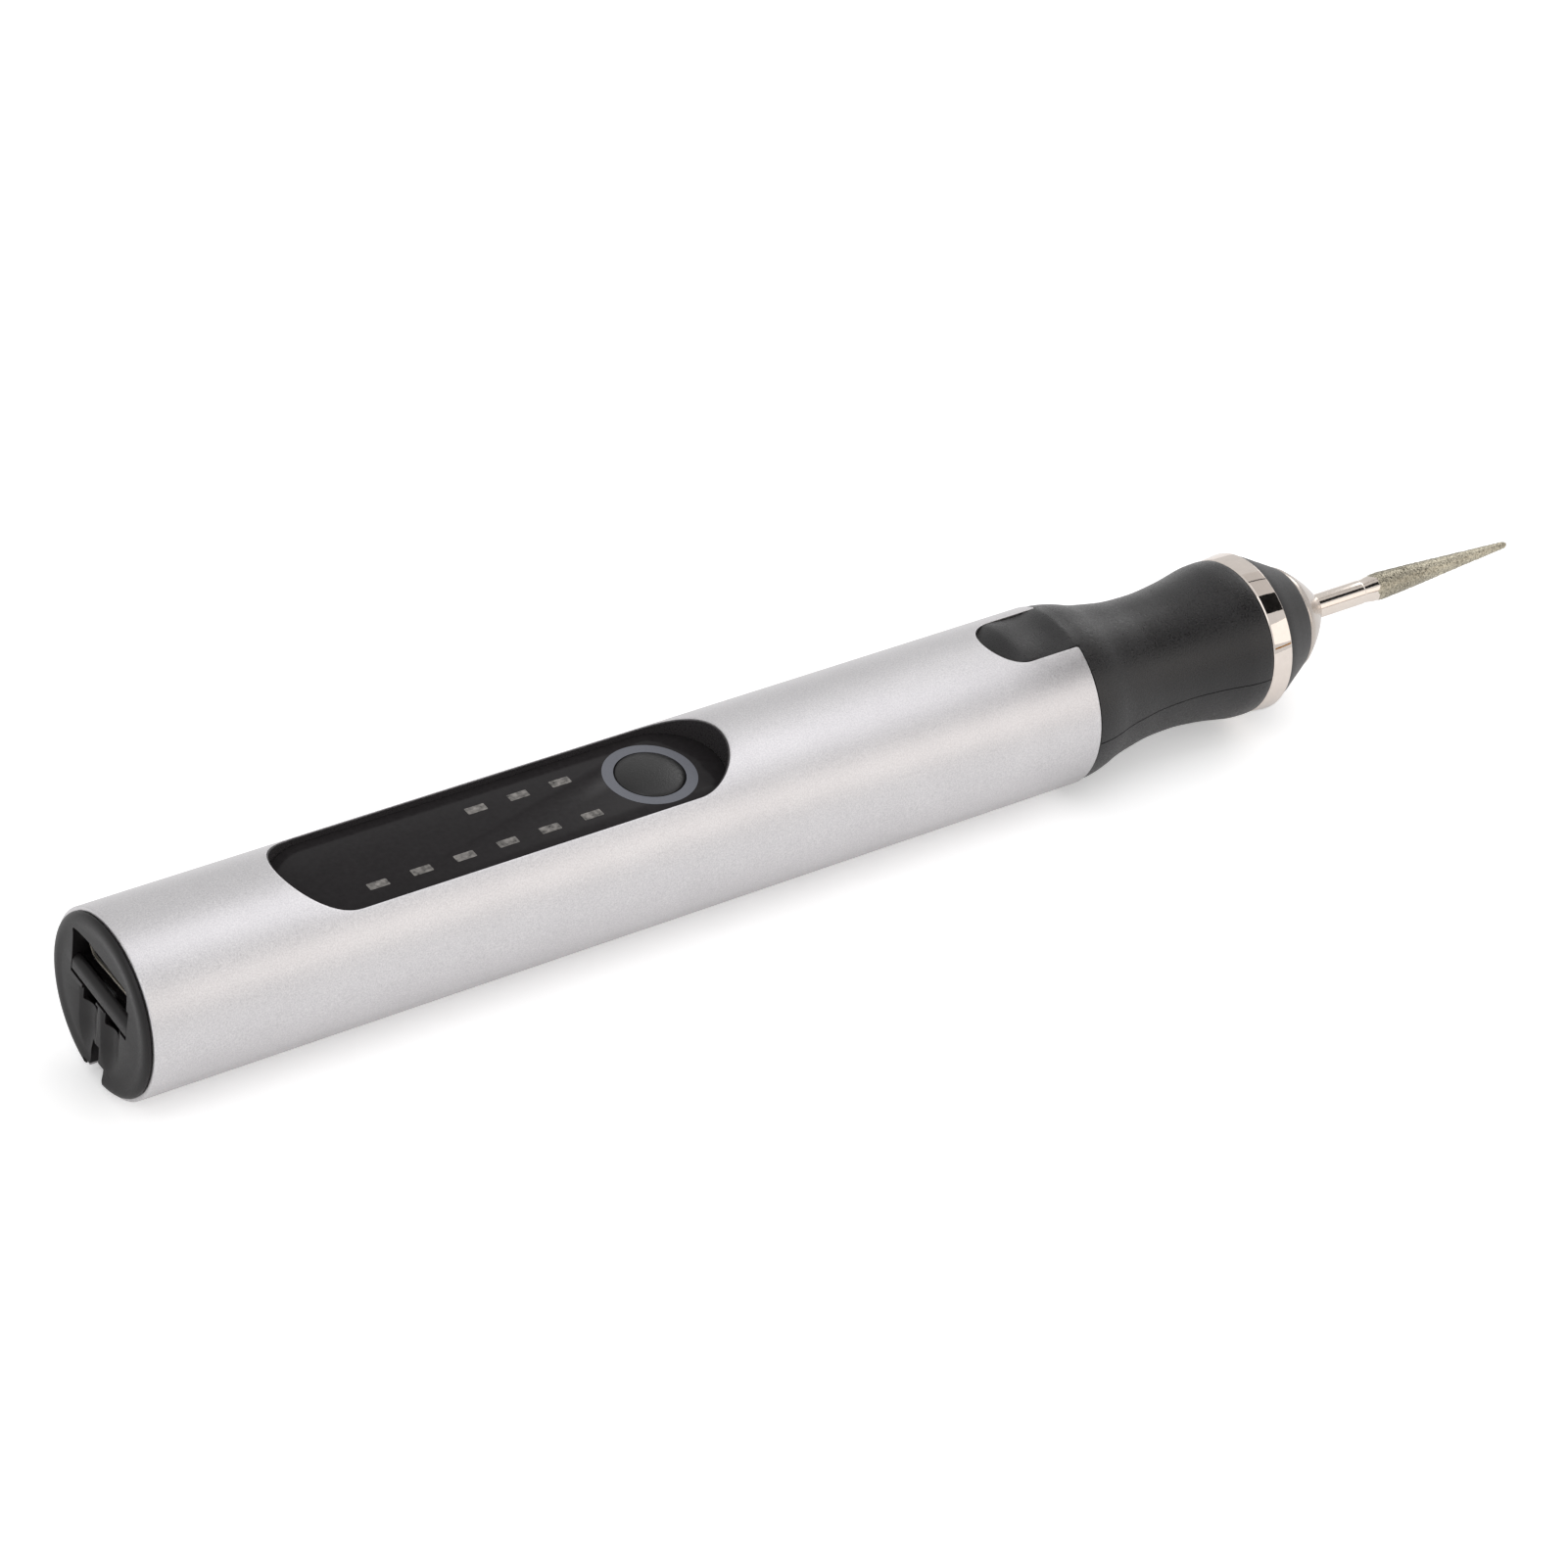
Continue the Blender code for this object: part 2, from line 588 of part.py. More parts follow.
def cut_channels(cap, pen):
    """Two upright hollows under the port, each with a small pocket at its top."""
    height = CHANNEL_TOP - CHANNEL_BOTTOM
    for side in (-1, 1):
        across = side * CHANNEL_SPACING / 2
        face = -CAP_STANDOFF
        hollow = rod(CHANNEL_RADIUS, height, BUTTON_SIDES)
        place = (face - CHANNEL_CENTRE_OUT, across, (CHANNEL_TOP + CHANNEL_BOTTOM) / 2)
        boolean(cap, cutter(f"channel_{side:+d}", hollow, pen, place))
        depth = CHANNEL_POCKET_DEPTH + CUT_OVERRUN
        pocket = box(depth, CHANNEL_POCKET_WIDTH, CHANNEL_POCKET_HEIGHT)
        place = (face + CHANNEL_POCKET_DEPTH - depth / 2, across, CHANNEL_TOP)
        boolean(cap, cutter(f"channel_pocket_{side:+d}", pocket, pen, place))


def make_socket(pen):
    place = (SOCKET_START, 0.0, SOCKET_CENTRE_Z)
    shell_outline = stadium(-SOCKET_WIDTH / 2, SOCKET_WIDTH, SOCKET_HEIGHT)
    shell = piece("usb_socket_shell", prism(shell_outline, SOCKET_LENGTH, "X"), NICKEL, pen, place)
    inner_width = SOCKET_WIDTH - 2 * SOCKET_WALL
    inner_height = SOCKET_HEIGHT - 2 * SOCKET_WALL
    hole = prism(stadium(-inner_width / 2, inner_width, inner_height), SOCKET_LENGTH + 2 * CUT_OVERRUN, "X")
    hole_place = (SOCKET_START - CUT_OVERRUN, 0.0, SOCKET_CENTRE_Z)
    boolean(shell, cutter("socket_mouth", hole, pen, hole_place))
    rear = SOCKET_LENGTH - SEAM_GAP
    base = rear - TONGUE_BASE_LENGTH
    profile = [
        (TONGUE_SETBACK, -TONGUE_THICKNESS / 2),
        (base, -TONGUE_THICKNESS / 2),
        (base, -TONGUE_BASE_HEIGHT / 2),
        (rear, -TONGUE_BASE_HEIGHT / 2),
        (rear, TONGUE_BASE_HEIGHT / 2),
        (base, TONGUE_BASE_HEIGHT / 2),
        (base, TONGUE_THICKNESS / 2),
        (TONGUE_SETBACK, TONGUE_THICKNESS / 2),
    ]
    tongue_place = (SOCKET_START, -TONGUE_WIDTH / 2, SOCKET_CENTRE_Z)
    piece("usb_socket_tongue", prism(profile, TONGUE_WIDTH, "Y"), CHIP_BLACK, pen, tongue_place)


def make_lens(pen):
    start = SLOT_START + LENS_GAP
    outline = stadium(start, SLOT_LENGTH - 2 * LENS_GAP, SLOT_WIDTH - 2 * LENS_GAP)
    lens = piece("display_lens", prism(outline, LENS_THICKNESS), GLOSS_BLACK, pen, (0.0, 0.0, LENS_BOTTOM))
    hole = rod(BUTTON_RADIUS + SEAM_GAP, LENS_THICKNESS + 2 * CUT_OVERRUN, BUTTON_SIDES)
    place = (BUTTON_FROM_TAIL, 0.0, LENS_BOTTOM + LENS_THICKNESS / 2)
    boolean(lens, cutter("button_hole", hole, pen, place))


def make_carrier(pen):
    """The black insert under the display, which holds the board and closes the slot's round ends."""
    length = CARRIER_END - CARRIER_START
    outline = [(0.0, 0.0), (0.0, INSERT_RADIUS), (length, INSERT_RADIUS), (length, 0.0)]
    start = (CARRIER_START, 0.0, 0.0)
    carrier = piece("panel_carrier", swept(outline, TUBE_SIDES), BLACK_PLASTIC, pen, start)
    middle = (CARRIER_START + CARRIER_END) / 2
    depth = INSERT_RADIUS + CUT_OVERRUN + CARRIER_BOTTOM
    under = box(length + 2 * CUT_OVERRUN, 2 * (INSERT_RADIUS + CUT_OVERRUN), depth)
    boolean(carrier, cutter("carrier_underside", under, pen, (middle, 0.0, CARRIER_BOTTOM - depth / 2)))
    height = CARRIER_CEILING - CARRIER_BOTTOM + CUT_OVERRUN
    bay = box(length + 2 * CUT_OVERRUN, BOARD_WIDTH + 2 * SEAT_GAP, height)
    boolean(carrier, cutter("board_bay", bay, pen, (middle, 0.0, CARRIER_CEILING - height / 2)))
    recess = prism(stadium(SLOT_START, SLOT_LENGTH, SLOT_WIDTH), INSERT_RADIUS + CUT_OVERRUN - CARRIER_FLOOR)
    boolean(carrier, cutter("lens_recess", recess, pen, (0.0, 0.0, CARRIER_FLOOR)))
    through = CARRIER_ROOF + 2 * CUT_OVERRUN
    roof_middle = CARRIER_FLOOR - CARRIER_ROOF / 2
    for number, (along, across) in enumerate(lamp_places(), start=1):
        window = box(LAMP_LENGTH + 2 * SEAT_GAP, LAMP_WIDTH + 2 * SEAT_GAP, through)
        boolean(carrier, cutter(f"lamp_window_{number}", window, pen, (along, across, roof_middle)))
    flange = BUTTON_RADIUS + BUTTON_FLANGE_WIDTH + SEAT_GAP
    hole = rod(flange, through, BUTTON_SIDES)
    boolean(carrier, cutter("carrier_button_hole", hole, pen, (BUTTON_FROM_TAIL, 0.0, roof_middle)))


def lamp_places():
    """The lamps: a long row near the pen's -Y side and a short one near +Y, which ends level with it."""
    long_row = [(LAMP_FIRST + n * LAMP_PITCH, -LAMP_ROW_OFFSET) for n in range(LAMP_ROW_COUNT)]
    short_row = [(LAMP_LAST - n * LAMP_PITCH, LAMP_ROW_OFFSET) for n in range(LAMP_SHORT_ROW_COUNT)]
    return long_row + short_row


def make_button(pen):
    """The domed button, with its hollow underside and the flange that keeps it under the lens."""
    guide = frame_empty("button_guide", (BUTTON_FROM_TAIL, 0.0, 0.0), pen)
    flange_top = LENS_BOTTOM - SEAT_GAP
    flange_bottom = flange_top - BUTTON_FLANGE_THICKNESS
    outline = []
    for step in range(BUTTON_DOME_STEPS + 1):
        turn = math.pi / 2 * step / BUTTON_DOME_STEPS
        outline.append((BUTTON_EDGE + BUTTON_DOME_HEIGHT * math.cos(turn), BUTTON_RADIUS * math.sin(turn)))
    outline += [
        (flange_top, BUTTON_RADIUS),
        (flange_top, BUTTON_RADIUS + BUTTON_FLANGE_WIDTH),
        (flange_bottom, BUTTON_RADIUS + BUTTON_FLANGE_WIDTH),
        (flange_bottom, BUTTON_RADIUS - BUTTON_WALL),
        (BUTTON_CEILING, BUTTON_RADIUS - BUTTON_WALL),
        (BUTTON_CEILING, 0.0),
    ]
    piece("power_button", swept(outline, BUTTON_SIDES, axis="Z"), BLACK_PLASTIC, guide)
    plunger = rod(PLUNGER_RADIUS, PLUNGER_HEIGHT, PLUNGER_SIDES)
    piece("switch_plunger", plunger, CHIP_BLACK, guide, (0.0, 0.0, PLUNGER_TOP - PLUNGER_HEIGHT / 2))


def make_electronics(pen):
    centre = (BOARD_START + BOARD_LENGTH / 2, 0.0, BOARD_TOP - BOARD_THICKNESS / 2)
    piece("control_board", box(BOARD_LENGTH, BOARD_WIDTH, BOARD_THICKNESS), BOARD_GREEN, pen, centre)
    lamp_z = BOARD_TOP + LAMP_STANDOFF + LAMP_THICKNESS / 2
    for number, (along, across) in enumerate(lamp_places(), start=1):
        lamp = box(LAMP_LENGTH, LAMP_WIDTH, LAMP_THICKNESS)
        piece(f"lamp_{number}", lamp, LAMP_WHITE, pen, (along, across, lamp_z))
    place = (BUTTON_FROM_TAIL, 0.0, SWITCH_BOTTOM + SWITCH_HEIGHT / 2)
    switch = piece("switch_body", box(SWITCH_WIDTH, SWITCH_WIDTH, SWITCH_HEIGHT), NICKEL, pen, place)
    hole = rod(PLUNGER_RADIUS + SEAT_GAP, SWITCH_HEIGHT + 2 * CUT_OVERRUN, PLUNGER_SIDES)
    boolean(switch, cutter("plunger_hole", hole, pen, place))
    chip_z = BOARD_BOTTOM - CHIP_STANDOFF - CHIP_THICKNESS / 2
    chips = {
        "charge_chip": BOARD_START + SEAT_GAP + CHIP_LENGTH / 2,
        "motor_driver_chip": BOARD_END - CHIP_FROM_FRONT,
    }
    for name, along in chips.items():
        piece(name, box(CHIP_LENGTH, CHIP_WIDTH, CHIP_THICKNESS), CHIP_BLACK, pen, (along, 0.0, chip_z))


def make_battery(pen):
    body_end = CELL_LENGTH - CELL_EDGE
    outline = [
        (0.0, 0.0),
        (0.0, CELL_RADIUS - CELL_EDGE),
        (CELL_EDGE, CELL_RADIUS),
        (body_end, CELL_RADIUS),
        (CELL_LENGTH, CELL_RADIUS - CELL_EDGE),
        (CELL_LENGTH, CELL_NIPPLE_RADIUS),
        (CELL_LENGTH + CELL_NIPPLE_LENGTH, CELL_NIPPLE_RADIUS),
        (CELL_LENGTH + CELL_NIPPLE_LENGTH, 0.0),
    ]
    piece("battery_cell", swept(outline, CELL_SIDES), CELL_BLUE, pen, (CELL_START, 0.0, CELL_CENTRE_Z))
    top = BOARD_BOTTOM - SEAT_GAP
    bottom = CELL_CENTRE_Z - TAB_DROP
    tabs = {
        "battery_tab_rear": CELL_START - SEAM_GAP - TAB_THICKNESS / 2,
        "battery_tab_front": CELL_END + SEAM_GAP + TAB_THICKNESS / 2,
    }
    for name, along in tabs.items():
        strip = box(TAB_THICKNESS, TAB_WIDTH, top - bottom)
        piece(name, strip, NICKEL, pen, (along, 0.0, (top + bottom) / 2))
    start = TAB_END + SEAT_GAP
    pad = [(0.0, 0.0), (0.0, SPACER_RADIUS), (SPACER_LENGTH, SPACER_RADIUS), (SPACER_LENGTH, 0.0)]
    lift = BOARD_BOTTOM - CHIP_STANDOFF - CHIP_THICKNESS - SEAT_GAP - SPACER_RADIUS
    piece("foam_spacer", swept(pad, CELL_SIDES), RUBBER, pen, (start, 0.0, min(lift, CELL_CENTRE_Z)))


def make_motor_case(pen):
    bell_outline = [
        (MOTOR_START, BUSH_SEAT),
        (MOTOR_START, MOTOR_RADIUS),
        (MOTOR_START + BELL_FLANGE, MOTOR_RADIUS),
        (MOTOR_START + BELL_FLANGE, MOTOR_BORE - SEAT_GAP),
        (BELL_END, MOTOR_BORE - SEAT_GAP),
        (BELL_END, BUSH_SEAT),
    ]
    bell = piece("motor_end_bell", swept(bell_outline, MOTOR_SIDES), BLACK_PLASTIC, pen)
    can_outline = [
        (CAN_START, MOTOR_BORE),
        (CAN_START, MOTOR_RADIUS),
        (CAN_END, MOTOR_RADIUS),
        (CAN_END, CAN_BOSS_RADIUS),
        (CAN_END + CAN_BOSS_LENGTH, CAN_BOSS_RADIUS),
        (CAN_END + CAN_BOSS_LENGTH, BUSH_SEAT),
        (CAN_END - CAN_FACE, BUSH_SEAT),
        (CAN_END - CAN_FACE, MOTOR_BORE),
    ]
    piece("motor_can", swept(can_outline, MOTOR_SIDES), NICKEL, pen)
    bushes = {
        "motor_rear_bush": (MOTOR_START, BELL_FLANGE + BELL_PLUG),
        "motor_front_bush": (CAN_END - CAN_FACE, CAN_FACE + CAN_BOSS_LENGTH),
    }
    for name, (start, length) in bushes.items():
        ring = [(0.0, SHAFT_HOLE), (0.0, BUSH_RADIUS), (length, BUSH_RADIUS), (length, SHAFT_HOLE)]
        piece(name, swept(ring, SHAFT_SIDES), BRONZE, pen, (start, 0.0, 0.0))
    length = BELL_FLANGE + BELL_PLUG + 2 * CUT_OVERRUN
    for side, name in ((-1, "motor_terminal_left"), (1, "motor_terminal_right")):
        make_terminal(name, side, pen)
        slit = box(length, TERMINAL_THICKNESS + 2 * SEAT_GAP, TERMINAL_HEIGHT + 2 * SEAT_GAP)
        place = (MOTOR_START + length / 2 - CUT_OVERRUN, side * TERMINAL_OFFSET, 0.0)
        boolean(bell, cutter(f"{name}_slit", slit, pen, place))


def make_terminal(name, side, pen):
    """A strip from the wire's lug through the end bell, bent in towards the commutator."""
    outer = TERMINAL_OFFSET + TERMINAL_THICKNESS / 2
    inner = TERMINAL_OFFSET - TERMINAL_THICKNESS / 2
    brush = COMMUTATOR_RADIUS + SEAT_GAP
    start = MOTOR_START - TERMINAL_OUT
    bend = TERMINAL_END - TERMINAL_THICKNESS
    outline = [(start, inner), (start, outer), (TERMINAL_END, outer)]
    outline += [(TERMINAL_END, brush), (bend, brush), (bend, inner)]
    shape = prism([(u, side * v) for u, v in outline], TERMINAL_HEIGHT)
    piece(name, shape, BRASS, pen, (0.0, 0.0, -TERMINAL_HEIGHT / 2))


def make_magnets(pen):
    inner = MAGNET_OUTSIDE - MAGNET_WALL
    ring = [(0.0, inner), (0.0, MAGNET_OUTSIDE), (MAGNET_LENGTH, MAGNET_OUTSIDE), (MAGNET_LENGTH, inner)]
    for name, middle in (("motor_magnet_upper", math.pi), ("motor_magnet_lower", 0.0)):
        shape = swept(ring, ARC_STEPS, middle - MAGNET_ARC / 2, MAGNET_ARC)
        piece(name, shape, FERRITE, pen, (MAGNET_START, 0.0, 0.0))


def make_rotor(spin):
    start = MAGNET_START + ARMATURE_INSET
    ring = [(0.0, SHAFT_HOLE), (0.0, ARMATURE_RADIUS)]
    ring += [(ARMATURE_LENGTH, ARMATURE_RADIUS), (ARMATURE_LENGTH, SHAFT_HOLE)]
    core = piece("rotor_armature", swept(ring, MOTOR_SIDES), IRON, spin, (start, 0.0, 0.0))
    length = ARMATURE_LENGTH + 2 * CUT_OVERRUN
    depth = ARMATURE_SLOT_DEPTH + CUT_OVERRUN
    for pole in range(ARMATURE_POLES):
        turn = FULL_TURN * pole / ARMATURE_POLES
        reach = ARMATURE_RADIUS - ARMATURE_SLOT_DEPTH + depth / 2
        groove = box(length, depth, ARMATURE_SLOT)
        place = (start + ARMATURE_LENGTH / 2, reach * math.cos(turn), reach * math.sin(turn))
        slot = cutter(f"armature_slot_{pole + 1}", groove, spin, place)
        slot.rotation_euler = (turn, 0.0, 0.0)
        boolean(core, slot)
    ring = [(0.0, SHAFT_HOLE), (0.0, COMMUTATOR_RADIUS)]
    ring += [(COMMUTATOR_LENGTH, COMMUTATOR_RADIUS), (COMMUTATOR_LENGTH, SHAFT_HOLE)]
    piece("commutator", swept(ring, SPINDLE_SIDES), BRASS, spin, (COMMUTATOR_START, 0.0, 0.0))
    shaft = [(0.0, 0.0), (0.0, SHAFT_RADIUS), (SHAFT_LENGTH, SHAFT_RADIUS), (SHAFT_LENGTH, 0.0)]
    piece("motor_shaft", swept(shaft, SHAFT_SIDES), STEEL, spin, (SHAFT_START, 0.0, 0.0))


def make_mount_ring(pen):
    inner = MOTOR_RADIUS + SEAT_GAP
    ring = [(0.0, inner), (0.0, INSERT_RADIUS)]
    ring += [(MOUNT_RING_LENGTH, INSERT_RADIUS), (MOUNT_RING_LENGTH, inner)]
    piece("motor_mount_ring", swept(ring, MOTOR_SIDES), RUBBER, pen, (MOUNT_RING_START, 0.0, 0.0))


def make_wires(pen):
    """The motor's two leads, from the board's front end down to the terminals."""
    low = BOARD_BOTTOM - SEAT_GAP - WIRE_RADIUS
    start = BOARD_END - WIRE_RADIUS
    end = MOTOR_START - TERMINAL_OUT - SEAT_GAP
    for name, side, surface in (("motor_wire_red", -1, RED_WIRE), ("motor_wire_black", 1, BLACK_WIRE)):
        first = (start, side * WIRE_OFFSET, low)
        last = (end, side * TERMINAL_OFFSET, 0.0)
        lead = bpy.data.curves.new(name, "CURVE")
        lead.dimensions = "3D"
        lead.bevel_depth = WIRE_RADIUS
        lead.bevel_resolution = 2
        lead.use_fill_caps = True
        line = lead.splines.new("POLY")
        line.points.add(ARC_STEPS - 1)
        for step, point in enumerate(line.points):
            share = step / (ARC_STEPS - 1)
            point.co = (*hanging(first, last, share), 1.0)
        lead.materials.append(finish(surface[0], surface[1:]))
        item = bpy.data.objects.new(name, lead)
        item.parent = pen
        bpy.context.collection.objects.link(item)


def hanging(first, last, share):
    """A point on a smooth S from first, leaving downwards, to last, arriving along the pen."""
    ease = share * share * (3 - 2 * share)
    along = first[0] + (last[0] - first[0]) * share * share
    across = first[1] + (last[1] - first[1]) * ease
    up = first[2] + (last[2] - first[2]) * (1 - (1 - share) ** 2)
    return along, across, up


def make_spindle(spin):
    clip_end = SPINDLE_END - CLIP_FROM_END
    clip_start = clip_end - CLIP_SEAT_LENGTH
    clip_seat = SHANK_HOLE + CLIP_SEAT_DEPTH
    outline = [
        (COUPLING_BORE_END, 0.0),
        (COUPLING_BORE_END, SHAFT_HOLE),
        (COUPLING_START, SHAFT_HOLE),
        (COUPLING_START, COUPLING_RADIUS),
        (COUPLING_END, COUPLING_RADIUS),
        (COUPLING_END, SPINDLE_RADIUS),
        (SPINDLE_END, SPINDLE_RADIUS),
        (SPINDLE_END, SHANK_HOLE),
        (clip_end, SHANK_HOLE),
        (clip_end, clip_seat),
        (clip_start, clip_seat),
        (clip_start, SHANK_HOLE),
        (SPINDLE_END - CHUCK_DEPTH, SHANK_HOLE),
        (SPINDLE_END - CHUCK_DEPTH, 0.0),
    ]
    spindle = piece("spindle", swept(outline, SPINDLE_SIDES), BRASS, spin)
    screw_x = COUPLING_START + SET_SCREW_FROM_START
    depth = COUPLING_RADIUS + CUT_OVERRUN
    hole = rod(SET_SCREW_RADIUS + SEAM_GAP, depth, SHAFT_SIDES)
    boolean(spindle, cutter("set_screw_hole", hole, spin, (screw_x, 0.0, depth / 2)))
    inner = SHAFT_RADIUS + SEAM_GAP
    length = COUPLING_RADIUS - RUN_GAP - inner
    screw = rod(SET_SCREW_RADIUS, length, SHAFT_SIDES)
    piece("spindle_set_screw", screw, STEEL, spin, (screw_x, 0.0, inner + length / 2))
    width = CLIP_SEAT_LENGTH - 2 * SEAM_GAP
    outer = clip_seat - RUN_GAP
    ring = [(0.0, SHANK_HOLE), (0.0, outer), (width, outer), (width, SHANK_HOLE)]
    clip = swept(ring, SPINDLE_SIDES, 0.0, CLIP_ARC)
    piece("chuck_clip", clip, STEEL, spin, (clip_start + SEAM_GAP, 0.0, 0.0))


def make_bearing(name, start, pen, spin, cage_frame):
    """A ball bearing: two grooved races and the caged balls between them."""
    middle = BEARING_WIDTH / 2
    bore = BEARING_BORE / 2
    outside = BEARING_OUTSIDE / 2
    groove = BALL_RADIUS + BALL_GAP
    races = {
        "outer": (outside, outside - BEARING_RACE, 1),
        "inner": (bore, bore + BEARING_RACE, -1),
    }
    for part, (back, track, side) in races.items():
        reach = math.acos(side * (track - PITCH_RADIUS) / groove)
        outline = [(0.0, back), (0.0, track)]
        for step in range(GROOVE_STEPS + 1):
            turn = reach * (2 * step / GROOVE_STEPS - 1)
            outline.append((middle + groove * math.sin(turn), PITCH_RADIUS + side * groove * math.cos(turn)))
        outline += [(BEARING_WIDTH, track), (BEARING_WIDTH, back)]
        carrier = pen if part == "outer" else spin
        piece(f"{name}_{part}_race", swept(outline, BEARING_SIDES), STEEL, carrier, (start, 0.0, 0.0))
    make_cage(f"{name}_ball_cage", start + middle, cage_frame)


def make_cage(name, middle, cage_frame):
    inner = PITCH_RADIUS - CAGE_WALL / 2
    outer = PITCH_RADIUS + CAGE_WALL / 2
    half = CAGE_WIDTH / 2
    ring = [(-half, inner), (-half, outer), (half, outer), (half, inner)]
    cage = piece(name, swept(ring, BEARING_SIDES), STEEL, cage_frame, (middle, 0.0, 0.0))
    for number in range(BALL_COUNT):
        turn = FULL_TURN * number / BALL_COUNT
        ball = bmesh.new()
        bmesh.ops.create_icosphere(ball, subdivisions=1, radius=BALL_RADIUS)
        place = (middle, PITCH_RADIUS * math.cos(turn), PITCH_RADIUS * math.sin(turn))
        boolean(cage, cutter(f"{name}_ball_{number + 1}", ball, cage_frame, place), "UNION")


def grip_outline():
    """The grip's section: its waisted outside from rear to front, then its stepped bore back again."""
    rear_span = GRIP_WAIST - GRIP_START
    front_span = GRIP_END - GRIP_WAIST
    outline = [(TUBE_LENGTH - GRIP_SPIGOT_LENGTH, INSERT_RADIUS), (GRIP_START, INSERT_RADIUS)]
    for along, share in GRIP_REAR_SHARES:
        radius = GRIP_WAIST_RADIUS + (GRIP_REAR_RADIUS - GRIP_WAIST_RADIUS) * share
        outline.append((GRIP_START + rear_span * along, radius))
    for along, share in GRIP_FRONT_SHARES:
        radius = GRIP_WAIST_RADIUS + (GRIP_FRONT_RADIUS - GRIP_WAIST_RADIUS) * share
        outline.append((GRIP_WAIST + front_span * along, radius))
    seat = BEARING_OUTSIDE / 2 + SEAM_GAP
    tunnel = SHAFT_TUNNEL_RADIUS
    shoulder = BEARING_SHOULDER_RADIUS
    outline += [(GRIP_END, FRONT_SPIGOT_RADIUS), (FRONT_SPIGOT_END, FRONT_SPIGOT_RADIUS)]
    outline += [(FRONT_SPIGOT_END, shoulder)]
    for start, behind in ((FRONT_BEARING_START, shoulder), (REAR_BEARING_START, tunnel)):
        rear = start - SEAT_GAP
        front = start + BEARING_WIDTH + SEAT_GAP
        outline += [(front, shoulder), (front, seat), (rear, seat), (rear, behind)]
    motor_seat = MOTOR_RADIUS + SEAT_GAP
    outline += [(GRIP_MOTOR_SEAT_END, tunnel), (GRIP_MOTOR_SEAT_END, motor_seat)]
    outline += [(TUBE_LENGTH - GRIP_SPIGOT_LENGTH, motor_seat)]
    return outline


def make_grip(pen):
    outline = grip_outline()
    quarter = math.pi / 2
    span = math.pi - 2 * GRIP_SEAM_ANGLE
    lower = swept(outline, GRIP_SIDES, -quarter + GRIP_SEAM_ANGLE, span)
    piece("grip_lower_shell", lower, SOFT_BLACK, pen)
    upper = swept(outline, GRIP_SIDES, quarter + GRIP_SEAM_ANGLE, span)
    shell = piece("grip_upper_shell", upper, SOFT_BLACK, pen)
    boolean(shell, make_key(pen), "UNION")


def make_key(pen):
    """The tongue of the upper shell that fills the slot in the tube's front edge."""
    width = KEY_SLOT_WIDTH - 2 * SEAM_GAP
    length = KEY_SLOT_LENGTH - SEAM_GAP
    bottom = INSERT_RADIUS - TUBE_WALL
    radius = width / 2
    front = GRIP_START + TUBE_WALL
    start = TUBE_LENGTH - length + radius
    quarter = math.pi / 2
    outline = arc(start, 0.0, radius, quarter, 3 * quarter, ARC_STEPS) + [(front, -radius), (front, radius)]
    key = cutter("grip_key", prism(outline, TUBE_RADIUS), pen, (0.0, 0.0, bottom))
    ends = (TUBE_LENGTH - KEY_SLOT_LENGTH - CUT_OVERRUN, front + CUT_OVERRUN)
    crown = [(ends[0], 0.0), (ends[0], TUBE_RADIUS), (GRIP_START, TUBE_RADIUS)]
    crown += [(front, GRIP_REAR_RADIUS - SEAM_GAP), (ends[1], GRIP_REAR_RADIUS - SEAM_GAP), (ends[1], 0.0)]
    boolean(key, cutter("key_crown", swept(crown, TUBE_SIDES), pen), "INTERSECT")
    return key


def make_trim_ring(pen):
    inner = FRONT_SPIGOT_RADIUS + SEAT_GAP
    outline = [
        (0.0, inner),
        (0.0, RING_REAR_RADIUS - RING_EDGE),
        (RING_EDGE, RING_REAR_RADIUS),
        (RING_LENGTH - RING_EDGE, RING_FRONT_RADIUS),
        (RING_LENGTH, RING_FRONT_RADIUS - RING_EDGE),
        (RING_LENGTH, inner),
    ]
    piece("trim_ring", swept(outline, NOSE_SIDES), CHROME, pen, (RING_START, 0.0, 0.0))


def make_nose_cone(pen):
    seat = FRONT_SPIGOT_RADIUS + SEAT_GAP
    seat_end = FRONT_SPIGOT_END + SEAT_GAP - CONE_START
    hole = TIP_STUB_RADIUS + SEAT_GAP
    outline = [(0.0, seat)]
    for along, share in CONE_SHARES:
        radius = CONE_FRONT_RADIUS + (CONE_REAR_RADIUS - CONE_FRONT_RADIUS) * share
        outline.append((CONE_LENGTH * along, radius))
    outline += [(CONE_LENGTH, hole), (seat_end, hole), (seat_end, seat)]
    piece("nose_cone", swept(outline, NOSE_SIDES), BLACK_PLASTIC, pen, (CONE_START, 0.0, 0.0))


def make_nose_tip(pen):
    mouth = TIP_MOUTH_RADIUS + TIP_MOUTH_WALL
    chamber_end = SPINDLE_END + TIP_CHAMBER_SPARE - TIP_START
    outline = [(-TIP_STUB_LENGTH, TIP_CHAMBER_RADIUS), (-TIP_STUB_LENGTH, TIP_STUB_RADIUS)]
    outline += [(0.0, TIP_STUB_RADIUS)]
    for along, share in TIP_SHARES:
        outline.append((TIP_LENGTH * along, mouth + (TIP_REAR_RADIUS - mouth) * share))
    outline += [(TIP_LENGTH, TIP_MOUTH_RADIUS), (chamber_end, TIP_MOUTH_RADIUS)]
    outline += [(chamber_end, TIP_CHAMBER_RADIUS)]
    piece("nose_tip", swept(outline, NOSE_SIDES), NICKEL, pen, (TIP_START, 0.0, 0.0))


